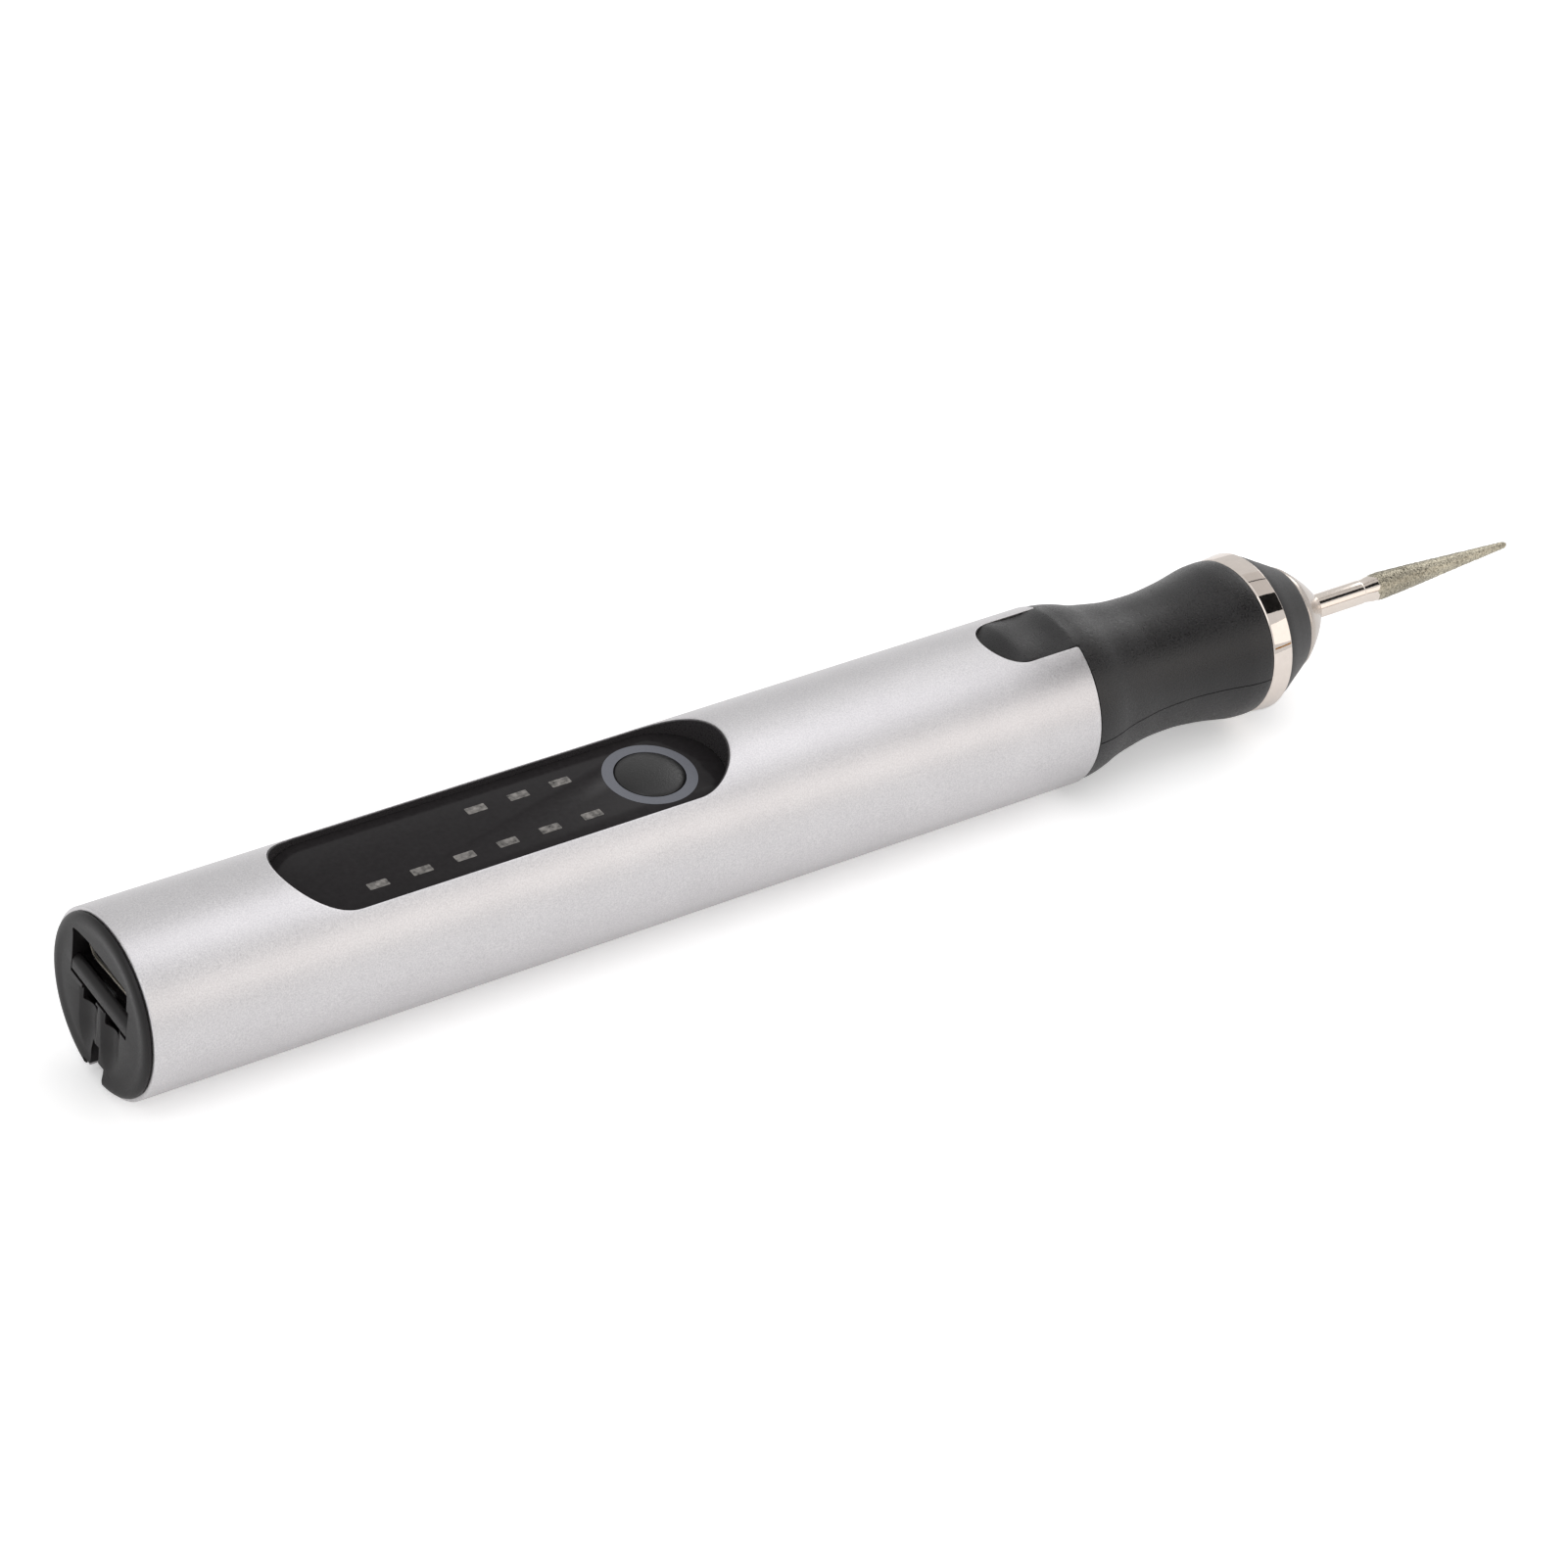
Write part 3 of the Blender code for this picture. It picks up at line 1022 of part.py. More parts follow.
def make_bit(chuck):
    outline = [
        (0.0, 0.0),
        (0.0, SHANK_RADIUS - SHANK_EDGE),
        (SHANK_EDGE, SHANK_RADIUS),
        (SHANK_END - SHANK_START, SHANK_RADIUS),
    ]
    for along, share in HEAD_SHARES:
        radius = HEAD_POINT_RADIUS + (HEAD_RADIUS - HEAD_POINT_RADIUS) * share
        outline.append((HEAD_START - SHANK_START + HEAD_LENGTH * along, radius))
    for along, share in POINT_SHARES:
        outline.append((HEAD_START - SHANK_START + HEAD_LENGTH * along, HEAD_POINT_RADIUS * share))
    piece("engraving_bit", swept(outline, BIT_SIDES), NICKEL, chuck, (SHANK_START, 0.0, 0.0))


def build():
    clear_scene()
    pen = frame_empty("pen_frame", (TAIL_X, 0.0, AXIS_HEIGHT))
    spin = frame_empty("spindle_axis", (0.0, 0.0, 0.0), pen)
    chuck = frame_empty("chuck_axis", (0.0, 0.0, 0.0), spin)
    make_tube(pen)
    make_end_cap(pen)
    make_socket(pen)
    make_lens(pen)
    make_carrier(pen)
    make_button(pen)
    make_electronics(pen)
    make_battery(pen)
    make_motor_case(pen)
    make_magnets(pen)
    make_mount_ring(pen)
    make_wires(pen)
    make_rotor(spin)
    make_spindle(spin)
    for name, start in (("rear_bearing", REAR_BEARING_START), ("front_bearing", FRONT_BEARING_START)):
        make_bearing(name, start, pen, spin, frame_empty(f"{name}_axis", (0.0, 0.0, 0.0), pen))
    make_grip(pen)
    make_trim_ring(pen)
    make_nose_cone(pen)
    make_nose_tip(pen)
    make_bit(chuck)


build()
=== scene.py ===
import math

import bmesh
import bpy
from mathutils import Matrix, Vector, noise


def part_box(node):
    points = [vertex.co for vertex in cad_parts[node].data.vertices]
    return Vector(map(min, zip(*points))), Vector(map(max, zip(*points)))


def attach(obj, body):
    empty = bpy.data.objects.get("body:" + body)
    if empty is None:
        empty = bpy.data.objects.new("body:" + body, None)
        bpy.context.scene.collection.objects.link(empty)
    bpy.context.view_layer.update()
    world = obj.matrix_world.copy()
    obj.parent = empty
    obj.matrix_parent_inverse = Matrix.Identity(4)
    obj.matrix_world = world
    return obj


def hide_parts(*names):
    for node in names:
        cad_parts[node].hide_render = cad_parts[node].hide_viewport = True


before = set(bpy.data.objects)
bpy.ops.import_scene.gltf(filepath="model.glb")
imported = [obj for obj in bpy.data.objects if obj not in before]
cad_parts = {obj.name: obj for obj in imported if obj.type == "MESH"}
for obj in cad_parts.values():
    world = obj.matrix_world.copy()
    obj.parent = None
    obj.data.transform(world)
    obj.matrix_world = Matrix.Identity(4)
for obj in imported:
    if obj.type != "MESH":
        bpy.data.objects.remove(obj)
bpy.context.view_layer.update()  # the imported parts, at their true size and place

# every piece is drawn in millimetres, along x from the tail end of the tube, round an axis at y = z = 0
mm = 0.001
tubeLow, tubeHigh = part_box("housing_tube")
tailCentre = Vector((tubeLow.x, 0.0, (tubeLow.z + tubeHigh.z) / 2))
fullTurn = 2 * math.pi
quarterTurn = math.pi / 2
centre = (0, 0, 0)
mergeWithin = 0.0005  # points closer than this become one
pastEnd, pastBelow, pastSkin = 2.0, 10.0, 9.0  # how far the cutters reach, clear of the pen


# shapes

def newObject(shape, name):
    mesh = bpy.data.meshes.new(name)
    shape.to_mesh(mesh)
    shape.free()
    made = bpy.data.objects.new(name, mesh)
    bpy.context.collection.objects.link(made)
    return made


def rawPiece(shape):
    # an object in millimetres, ready to be cut
    bmesh.ops.remove_doubles(shape, verts=shape.verts, dist=mergeWithin)
    bmesh.ops.recalc_face_normals(shape, faces=shape.faces)
    return newObject(shape, "tool")


def roundOff(shape, parts, size, segments=3, affect="EDGES"):
    bmesh.ops.bevel(shape, geom=parts, offset=size, offset_type="OFFSET", affect=affect,
                    segments=segments, profile=0.5, material=-1)


def reach(edge):
    # how far an edge goes along x, y and z
    step = edge.verts[1].co - edge.verts[0].co
    return Vector((abs(step.x), abs(step.y), abs(step.z)))


def edgesWhere(shape, test):
    # the edges whose two ends both pass
    return [e for e in shape.edges if all(test(v.co) for v in e.verts)]


def turned(corners, steps, start=0.0, turn=fullTurn, axis="x", segments=3):
    # corners are (along, out, round): a closed section, carried round the x or the z axis
    shape = bmesh.new()
    spots = [shape.verts.new((u, 0.0, v) if axis == "x" else (v, 0.0, u)) for u, v, _ in corners]
    for first, second in zip(spots, spots[1:] + spots[:1]):
        shape.edges.new((first, second))
    for size in sorted({corner[2] for corner in corners if corner[2]}):
        chosen = [spot for spot, corner in zip(spots, corners) if corner[2] == size]
        roundOff(shape, chosen, size, segments, "VERTICES")
    out = 2 if axis == "x" else 0
    onAxis = edgesWhere(shape, lambda at: abs(at[out]) < 0.0001)
    bmesh.ops.delete(shape, geom=onAxis, context="EDGES")
    bmesh.ops.rotate(shape, verts=shape.verts, cent=centre, matrix=Matrix.Rotation(start, 3, axis.upper()))
    full = turn == fullTurn
    bmesh.ops.spin(shape, geom=shape.verts[:] + shape.edges[:], cent=centre,
                   axis=(1, 0, 0) if axis == "x" else (0, 0, 1), dvec=(0, 0, 0),
                   angle=turn, steps=steps, use_merge=full, use_duplicate=False)
    # a spin's edges and faces come in another order each run, so they are put in the order of their points
    shape.verts.index_update()
    count = len(shape.verts)
    for parts in (shape.edges, shape.faces):
        parts.sort(key=lambda part: count * min(v.index for v in part.verts) + max(v.index for v in part.verts))
    if not full:
        bmesh.ops.holes_fill(shape, edges=shape.edges, sides=0)
    return shape


def arcPoints(centreX, centreY, radius, first, last, steps):
    turns = [math.radians(first + (last - first) * step / steps) for step in range(steps + 1)]
    return [(centreX + radius * math.cos(t), centreY + radius * math.sin(t)) for t in turns]


def circlePoints(centreX, radius, count):
    return arcPoints(centreX, 0.0, radius, 0, 360 - 360 / count, count - 1)


def slotOutline(start, length, width, grow=0.0, steps=40):
    radius = width / 2 + grow
    rear = arcPoints(start + width / 2, 0.0, radius, 90, 270, steps)
    front = arcPoints(start + length - width / 2, 0.0, radius, -90, 90, steps)
    return rear + front


def smoothSide(points, cuts=3):
    # corners on a curve through every point, for a side that was measured at a few places
    line = [Vector(point) for point in points]
    line = [2 * line[0] - line[1]] + line + [2 * line[-1] - line[-2]]
    corners = []
    for a, b, c, d in zip(line, line[1:], line[2:], line[3:]):
        for cut in range(cuts):
            t = cut / cuts
            spot = 0.5 * (2 * b + (c - a) * t + (2 * a - 5 * b + 4 * c - d) * t * t
                          + (3 * b - a - 3 * c + d) * t ** 3)
            corners.append((*spot, 0.0))
    return corners + [(*points[-1], 0.0)]


def stacked(loops):
    # closed rings of points, bridged from the first to the last and closed at both ends
    shape = bmesh.new()
    rings = []
    for points in loops:
        spots = [shape.verts.new(point) for point in points]
        rings.append([shape.edges.new(pair) for pair in zip(spots, spots[1:] + spots[:1])])
    for lower, upper in zip(rings, rings[1:]):
        bmesh.ops.bridge_loops(shape, edges=lower + upper)
    bmesh.ops.holes_fill(shape, edges=shape.edges, sides=0)
    return shape


def plate(outline, bottom, top):
    return stacked([[(x, y, z) for x, y in outline] for z in (bottom, top)])


def block(low, high, edgeRound=0.0):
    shape = bmesh.new()
    bmesh.ops.create_cube(shape, size=1.0)
    bmesh.ops.scale(shape, vec=[b - a for a, b in zip(low, high)], verts=shape.verts)
    bmesh.ops.translate(shape, vec=[(a + b) / 2 for a, b in zip(low, high)], verts=shape.verts)
    if edgeRound:
        roundOff(shape, shape.edges[:], edgeRound)
    return shape


def bake(piece):
    # what the modifiers make of the piece becomes its mesh
    graph = bpy.context.evaluated_depsgraph_get()
    made = bpy.data.meshes.new_from_object(piece.evaluated_get(graph))
    old = piece.data
    piece.modifiers.clear()
    piece.data = made
    bpy.data.meshes.remove(old)


def carve(piece, shape, operation="DIFFERENCE"):
    tool = rawPiece(shape)
    step = piece.modifiers.new("carve", "BOOLEAN")
    step.operation = operation
    step.solver = "EXACT"
    step.object = tool
    bake(piece)
    bpy.data.objects.remove(tool)


def soften(piece, width):
    # a narrow round on every edge that turns by more than 40 degrees
    step = piece.modifiers.new("soft edges", "BEVEL")
    step.width = width
    step.segments = 2
    step.limit_method = "ANGLE"
    step.angle_limit = math.radians(40)
    step.miter_outer = "MITER_ARC"
    bake(piece)


def setPiece(piece, name, materials, body, *replaced, slot):
    # puts a finished piece in its place on the frame, at true size
    piece.data.transform(Matrix.Translation(tailCentre) @ Matrix.Scale(mm, 4))
    piece.data.shade_smooth()
    piece.data.set_sharp_from_angle(angle=math.radians(30))
    piece.name = name
    for material in materials:
        piece.data.materials.append(material)
    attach(piece, body)
    if replaced:
        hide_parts(*replaced)


# materials

def srgb(text):
    # "#rrggbb" to the linear colour that the shader works in
    shares = [int(text[i:i + 2], 16) / 255 for i in (1, 3, 5)]
    return [s / 12.92 if s <= 0.04045 else ((s + 0.055) / 1.055) ** 2.4 for s in shares] + [1.0]


def addNode(tree, kind, settings=None, values=None, links=None):
    made = tree.nodes.new("ShaderNode" + kind)
    for name, value in (settings or {}).items():
        setattr(made, name, value)
    for name, value in (values or {}).items():
        made.inputs[name].default_value = value
    for name, source in (links or {}).items():
        tree.links.new(source, made.inputs[name])
    return made


def newMaterial(name, values):
    material = bpy.data.materials.new(name)
    material.use_nodes = True
    shader = material.node_tree.nodes["Principled BSDF"]
    for socket, value in values.items():
        shader.inputs[socket].default_value = value
    return material, material.node_tree, shader


def grainy(name, dark, light, roughness, grain, bump, metallic=0.0, spread=0.08, cloud=0.12, extra=None):
    # one even finish: a grain of the given size in mm, in colour, roughness and height, under a faint
    # cloud of tone. Real moulded and blasted grain is mostly finer than this and wouldn't show in a render,
    # so it is drawn as coarse as it needs to show
    material, tree, shader = newMaterial(name, {"Metallic": metallic, **(extra or {})})
    place = addNode(tree, "TexCoord").outputs["Object"]
    grid = addNode(tree, "Mapping", values={"Scale": (1 / mm, 1 / mm, 1 / mm)}, links={"Vector": place})
    speck = addNode(tree, "TexNoise", values={"Scale": 1 / grain, "Detail": 3.0, "Roughness": 0.6},
                    links={"Vector": grid.outputs["Vector"]})
    broad = addNode(tree, "TexNoise", values={"Scale": 0.15, "Detail": 2.0},
                    links={"Vector": grid.outputs["Vector"]})
    mixed = addNode(tree, "Mix", {"data_type": "FLOAT"}, {"Factor": cloud},
                    {"A": speck.outputs["Fac"], "B": broad.outputs["Fac"]})
    tint = addNode(tree, "MapRange", values={"From Min": 0.3, "From Max": 0.7},
                   links={"Value": mixed.outputs["Result"]})
    colour = addNode(tree, "Mix", {"data_type": "RGBA"}, {"A": srgb(dark), "B": srgb(light)},
                     {"Factor": tint.outputs["Result"]})
    tree.links.new(colour.outputs["Result"], shader.inputs["Base Color"])
    rough = addNode(tree, "MapRange",
                    values={"From Min": 0.3, "From Max": 0.7,
                            "To Min": roughness - spread, "To Max": roughness + spread},
                    links={"Value": speck.outputs["Fac"]})
    tree.links.new(rough.outputs["Result"], shader.inputs["Roughness"])
    height = addNode(tree, "Bump", values={"Strength": bump, "Distance": grain * 0.3 * mm},
                     links={"Height": speck.outputs["Fac"]})
    tree.links.new(height.outputs["Normal"], shader.inputs["Normal"])
    return material


print("materials")
# bead-blasted anodised aluminium: pale silver with a fine sparkle, no clear reflection
anodisedAluminium = grainy("anodisedAluminium", "#c4c2c4", "#e2e0e1", roughness=0.4, grain=0.14, bump=0.4,
                           metallic=1.0)
# moulded ABS with a fine spark-eroded texture: dull black with soft highlights
mouldedAbs = grainy("mouldedAbs", "#0c0a0b", "#171415", roughness=0.42, grain=0.12, bump=0.2,
                    extra={"Specular IOR Level": 0.37})
# smoked acrylic with a hard anti-glare coat: dark grey-black, its reflections soft and weak
smokedAcrylic = grainy("smokedAcrylic", "#232122", "#292728", roughness=0.16, grain=0.5, bump=0.02,
                       spread=0.03, extra={"IOR": 1.49, "Specular IOR Level": 0.08})
# the same ABS with a silkier skin on the slot's inner walls, painted a lighter grey than the moulded ABS: painted
# light, for the light those walls catch
paintedLitAbs = grainy("paintedLitAbs", "#302e2f", "#353334", roughness=0.3, grain=0.12, bump=0.1)
# screen-printed ink: flat slate grey with a slightly rough skin
printedInk = grainy("printedInk", "#606268", "#6b6d75", roughness=0.5, grain=0.08, bump=0.1,
                    extra={"Specular IOR Level": 0.35})
# printed lamp windows with the unlit lamps behind them: a mottled grey
lampWindowPrint = grainy("lampWindowPrint", "#2e2c2a", "#8e8a86", roughness=0.35, grain=0.5, bump=0.1,
                         spread=0.1, cloud=0.0)
# textured ABS keycap: coarser grain that breaks the highlight into points
keycapAbs = grainy("keycapAbs", "#090808", "#151414", roughness=0.36, grain=0.16, bump=0.6)
# soft-touch coated ABS: charcoal, with a wide velvety highlight
softTouch = grainy("softTouch", "#060506", "#1b191a", roughness=0.36, grain=0.17, bump=0.75,
                   spread=0.14, cloud=0.05)
# bright chromium plate: a clear mirror with a faint warm tint
chromePlate = grainy("chromePlate", "#e0d6ce", "#e6dcd4", roughness=0.04, grain=0.6, bump=0.01,
                     metallic=1.0, spread=0.02)
# stamped stainless steel: a pale warm metal, bright at the socket's rolled rim
stampedSteel = grainy("stampedSteel", "#e4dccd", "#f2ebdf", roughness=0.4, grain=0.4, bump=0.03,
                      metallic=1.0, spread=0.04)
# satin nickel plate: warm grey, with highlights that keep a soft edge
satinNickel = grainy("satinNickel", "#b2a9a1", "#c9c0b9", roughness=0.2, grain=0.1, bump=0.15,
                     metallic=1.0)
# ground and polished steel: narrow bright streaks along the shank
polishedSteel = grainy("polishedSteel", "#ded4cb", "#e6dcd3", roughness=0.1, grain=0.2, bump=0.03,
                       metallic=1.0, spread=0.03)
# diamond grit held in nickel: rough olive-grey with bright points
diamondGrit = grainy("diamondGrit", "#433d31", "#e4dcc6", roughness=0.32, grain=0.19, bump=1.0,
                     metallic=1.0, spread=0.15, cloud=0.3)


print("housing tube")
tube = {
    "length": 97.95, "radius": 8.488, "bore": 7.6, "sides": 250,
    "boreRound": 0.05, "tailRound": 0.15, "frontRound": 0.15,
    "rings": (15.2, 61.3, 88.8),  # rings of edges that keep the shading of the slots' rims to themselves
    "slotStart": 15.8, "slotLength": 44.85, "slotWidth": 10.84, "slotRound": 0.12,
    "keyStart": 89.4, "keyWidth": 6.6, "keyMouth": 0.4, "keyRound": 0.08,
    "notchDepth": 2.1, "notches": [(-1.0, 1.1, -6.1), (0.9, 2.15, -6.97)],  # (low y, high y, top z), open below
}


def drapedCutter(outlineAt, rimRound):
    # cuts down through the tube's wall, and rounds off the rim of the cut
    radius = tube["radius"]
    steps = 4
    loops = [[(x, y, 0.0) for x, y in outlineAt(0.0)]]
    for step in range(steps + 1):
        turn = quarterTurn * step / steps
        grow = rimRound * (1 - math.cos(turn))
        sink = rimRound * (1 - math.sin(turn))
        loops.append([(x, y, math.sqrt(max(radius ** 2 - y ** 2, 0.01)) - sink) for x, y in outlineAt(grow)])
    loops.append([(x, y, radius + pastEnd) for x, y in outlineAt(rimRound + 0.02)])
    return stacked(loops)


def displaySlot(grow=0.0):
    return slotOutline(tube["slotStart"], tube["slotLength"], tube["slotWidth"], grow)


def keyOutline(grow):
    # open at the tube's front end, where its mouth flares a little
    radius = tube["keyWidth"] / 2 + grow
    rear = tube["keyStart"] + tube["keyWidth"] / 2
    front = tube["length"]
    clear = front + 1.5
    mouth = tube["keyMouth"]
    points = arcPoints(rear, 0.0, radius, 90, 270, 30)
    points += arcPoints(front - mouth, -radius - mouth, mouth, 90, 0, 6)
    points += [(clear, -radius - mouth), (clear, radius + mouth)]
    points += arcPoints(front - mouth, radius + mouth, mouth, 0, -90, 6)
    return points


def cutNotches(piece):
    # the tube's tail and the cap behind it share these
    for low, high, top in tube["notches"]:
        carve(piece, block((-pastEnd, low, -pastBelow), (tube["notchDepth"], high, top)))


housingTube = rawPiece(turned([
    (0.0, tube["bore"], tube["boreRound"]),
    (0.0, tube["radius"], tube["tailRound"]),
    *[(x, tube["radius"], 0.0) for x in tube["rings"]],
    (tube["length"], tube["radius"], tube["frontRound"]),
    (tube["length"], tube["bore"], tube["boreRound"]),
], tube["sides"]))
carve(housingTube, drapedCutter(displaySlot, tube["slotRound"]))
carve(housingTube, drapedCutter(keyOutline, tube["keyRound"]))
cutNotches(housingTube)
setPiece(housingTube, "housingTube", [anodisedAluminium], "housing", "housing_tube", slot="anodised_aluminium")


print("end cap")
cap = {
    "face": -0.48, "sides": 160, "edgeRound": 0.05,
    "rim": [(-0.48, 6.3), (-0.5, 6.6), (-0.55, 6.95), (-0.597, 7.3), (-0.58, 7.62), (-0.48, 7.9),
            (-0.32, 8.08), (-0.15, 8.15)],  # (x, out): a soft bead round the face
    "neck": 0.5, "step": 0.25, "stepEnd": 0.1,  # two steps down from the rim to the spigot
    "spigot": 7.3, "length": 7.0, "wall": 1.1, "endRound": 0.1, "web": 2.6, "webRound": 0.2,
    "port": [(4.86, 1.3), (4.86, 5.0), (2.3, 5.22), (-3.8, 4.72), (-4.3, 4.4), (-4.34, 1.3)],  # (y, z), uneven
    "portRound": 0.25, "portEnd": 9.0,
    "wellGap": 0.06, "wellTop": 3.0, "wellDepth": 0.5, "wellRound": 0.05,  # the room that the lip stands in
    "channelWidth": 3.6, "channelDepth": 0.55, "channelSpacing": 3.7, "channelTop": -0.3,
    "channelBottom": -6.2, "channelFade": 0.45, "channelSide": 0.7,
    "pocketWidth": 2.4, "pocketLow": -1.45, "pocketHigh": 0.1, "pocketDepth": 1.6, "pocketRound": 0.12,
    "undercutStart": 0.15, "undercutLow": -3.0, "undercutHigh": -1.0,  # behind each pocket
    "slitLow": -0.15, "slitHigh": 1.1, "slitTop": -4.4, "slitDepth": 0.35, "slitRound": 0.1,
}
portLip = {
    "low": -4.4, "high": 4.95, "floor": 0.02, "top": 1.62, "thick": 0.75, "sink": 0.02, "tilt": 4.0,
    "topRound": 0.72, "lowRound": 0.3, "endRound": 0.2,
}


def prism(outline, low, high, edgeRound):
    # an outline in y and z, carried along the pen, with its long edges rounded off
    shape = stacked([[(x, y, z) for y, z in outline] for x in (low, high)])
    roundOff(shape, [e for e in shape.edges if reach(e).x > 0.001], edgeRound, 4)
    return shape


def tilted(shape):
    matrix = Matrix.Rotation(math.radians(portLip["tilt"]), 3, "X")
    bmesh.ops.rotate(shape, verts=shape.verts, cent=centre, matrix=matrix)
    return shape


def channelCutter(middle):
    # a soft-edged trough that runs out towards the rim
    loops = []
    half = cap["channelWidth"] / 2
    fade = cap["channelFade"]
    steps, cuts = 14, 24
    for step in range(steps + 1):
        share = step / steps
        z = cap["channelTop"] + (cap["channelBottom"] - cap["channelTop"]) * share
        depth = 0.0
        if share < 1:
            depth = cap["channelDepth"] * math.cos(quarterTurn * max(0.0, share - fade) / (1 - fade)) ** 2
        lift = 0.02 + 0.14 * share  # the trough's rim climbs clear of the bead
        loop = []
        for y in [-half + 2 * half * cut / cuts for cut in range(cuts + 1)]:
            hollow = (0.5 + 0.5 * math.cos(math.pi * y / half)) ** cap["channelSide"]
            loop.append((cap["face"] - lift + (depth + lift) * hollow, middle + y, z))
        loops.append([(-pastEnd, middle - half, z)] + loop + [(-pastEnd, middle + half, z)])
    return stacked(loops)


neckOut, stepOut = cap["spigot"] + cap["neck"], cap["spigot"] + cap["step"]
endCap = rawPiece(turned([
    (cap["face"], 0.0, 0.0),
    *smoothSide(cap["rim"]),
    (cap["rim"][-1][0], neckOut, 0.0), (0.0, neckOut, 0.0),
    (0.0, stepOut, 0.0), (cap["stepEnd"], stepOut, 0.0),
    (cap["stepEnd"], cap["spigot"], 0.0), (cap["length"], cap["spigot"], cap["endRound"]),
    (cap["length"], cap["spigot"] - cap["wall"], cap["endRound"]),
    (cap["web"], cap["spigot"] - cap["wall"], cap["webRound"]), (cap["web"], 0.0, 0.0),
], cap["sides"]))
carve(endCap, prism(cap["port"], -pastEnd, cap["portEnd"], cap["portRound"]))
well = block((-pastEnd, portLip["low"] - cap["wellGap"], portLip["floor"] - 2 * cap["wellGap"]),
             (cap["face"] + portLip["thick"] + cap["wellDepth"], portLip["high"] + cap["wellGap"], cap["wellTop"]),
             cap["wellRound"])
carve(endCap, tilted(well))
for side in (-1, 1):
    middle = side * cap["channelSpacing"] / 2
    low, high = middle - cap["pocketWidth"] / 2, middle + cap["pocketWidth"] / 2
    carve(endCap, channelCutter(middle))
    carve(endCap, block((-pastEnd, low, cap["pocketLow"]), (cap["pocketDepth"], high, cap["pocketHigh"]),
                        cap["pocketRound"]))
    carve(endCap, block((cap["undercutStart"], low, cap["undercutLow"]),
                        (cap["pocketDepth"], high, cap["undercutHigh"])))
carve(endCap, block((-pastEnd, cap["slitLow"], -pastBelow), (cap["slitDepth"], cap["slitHigh"], cap["slitTop"]),
                    cap["slitRound"]))
cutNotches(endCap)
soften(endCap, cap["edgeRound"])
setPiece(endCap, "endCap", [mouldedAbs], "housing", "end_cap", slot="black_abs")

lip = block((cap["face"] + portLip["sink"], portLip["low"], portLip["floor"]),
            (cap["face"] + portLip["thick"], portLip["high"], portLip["top"]))
lipMiddle = (portLip["floor"] + portLip["top"]) / 2
roundOff(lip, edgesWhere(lip, lambda at: at.x < 0 and at.z > lipMiddle), portLip["topRound"], 8)
roundOff(lip, edgesWhere(lip, lambda at: at.x < 0 and at.z < lipMiddle), portLip["lowRound"], 4)
lipFront = edgesWhere(lip, lambda at: at.x < cap["face"] + 0.4)
uprights = [e for e in lipFront if reach(e).y < 0.001 and reach(e).z > 0.3]
roundOff(lip, uprights, portLip["endRound"])
setPiece(rawPiece(tilted(lip)), "portLip", [mouldedAbs], "housing", slot="black_abs")


print("charging socket")
socket = {
    "start": 0.8, "length": 7.3, "width": 8.94, "height": 3.0, "wall": 0.3, "centre": 3.62,
    "lipRound": 0.14, "edgeRound": 0.03,
    "sleeveStart": 0.12, "sleeveSpan": (0.02, 0.2),  # behind the mouth, and from and to inwards of the shell
}


def socketRing(shrink, x):
    outline = slotOutline(shrink - socket["width"] / 2, socket["width"] - 2 * shrink,
                          socket["height"] - 2 * shrink, steps=16)
    return [(x, y, z + socket["centre"]) for y, z in outline]


socketMouth, socketEnd = socket["start"], socket["start"] + socket["length"]
socketShell = rawPiece(stacked([
    socketRing(socket["lipRound"], socketMouth),
    socketRing(socket["edgeRound"], socketMouth + socket["edgeRound"]),
    socketRing(0.0, socketMouth + socket["lipRound"]),
    socketRing(0.0, socketEnd),
]))
boreSpan = (socketMouth - 1.0, socketEnd + 1.0)
carve(socketShell, stacked([socketRing(socket["wall"], x) for x in boreSpan]))
sleeveOut, sleeveIn = (socket["wall"] + inwards for inwards in socket["sleeveSpan"])
sleeve = rawPiece(stacked([socketRing(sleeveOut, x) for x in (socketMouth + socket["sleeveStart"], socketEnd)]))
carve(sleeve, stacked([socketRing(sleeveIn, x) for x in boreSpan]))
# the moulded insulator inside the shell
setPiece(sleeve, "socketSleeve", [mouldedAbs], "housing", slot="black_abs")
setPiece(socketShell, "socketShell", [stampedSteel], "housing", "usb_socket_shell", slot="satin_nickel")


print("display")
panel = {
    "gap": 0.14, "top": 5.85, "bottom": 5.15, "edgeRound": 0.06,
    "buttonX": 53.56, "holeRadius": 3.2, "ringOuter": 4.24, "ringInner": 3.22, "ringSides": 96,
    "printGap": 0.002, "printHeight": 0.012,
    "windowLength": 1.96, "windowWidth": 0.87, "windowRound": 0.1,
    "rowStart": 24.4, "rowStep": 4.3, "rowOffset": 2.58, "nearRow": 6, "farRow": 3,
}
lens = rawPiece(plate(displaySlot(-panel["gap"]), panel["bottom"], panel["top"]))
buttonHole = circlePoints(panel["buttonX"], panel["holeRadius"], 120)
carve(lens, plate(buttonHole, panel["bottom"] - 1, panel["top"] + 1))
soften(lens, panel["edgeRound"])
setPiece(lens, "displayLens", [smokedAcrylic], "housing", "display_lens", slot="black_acrylic")

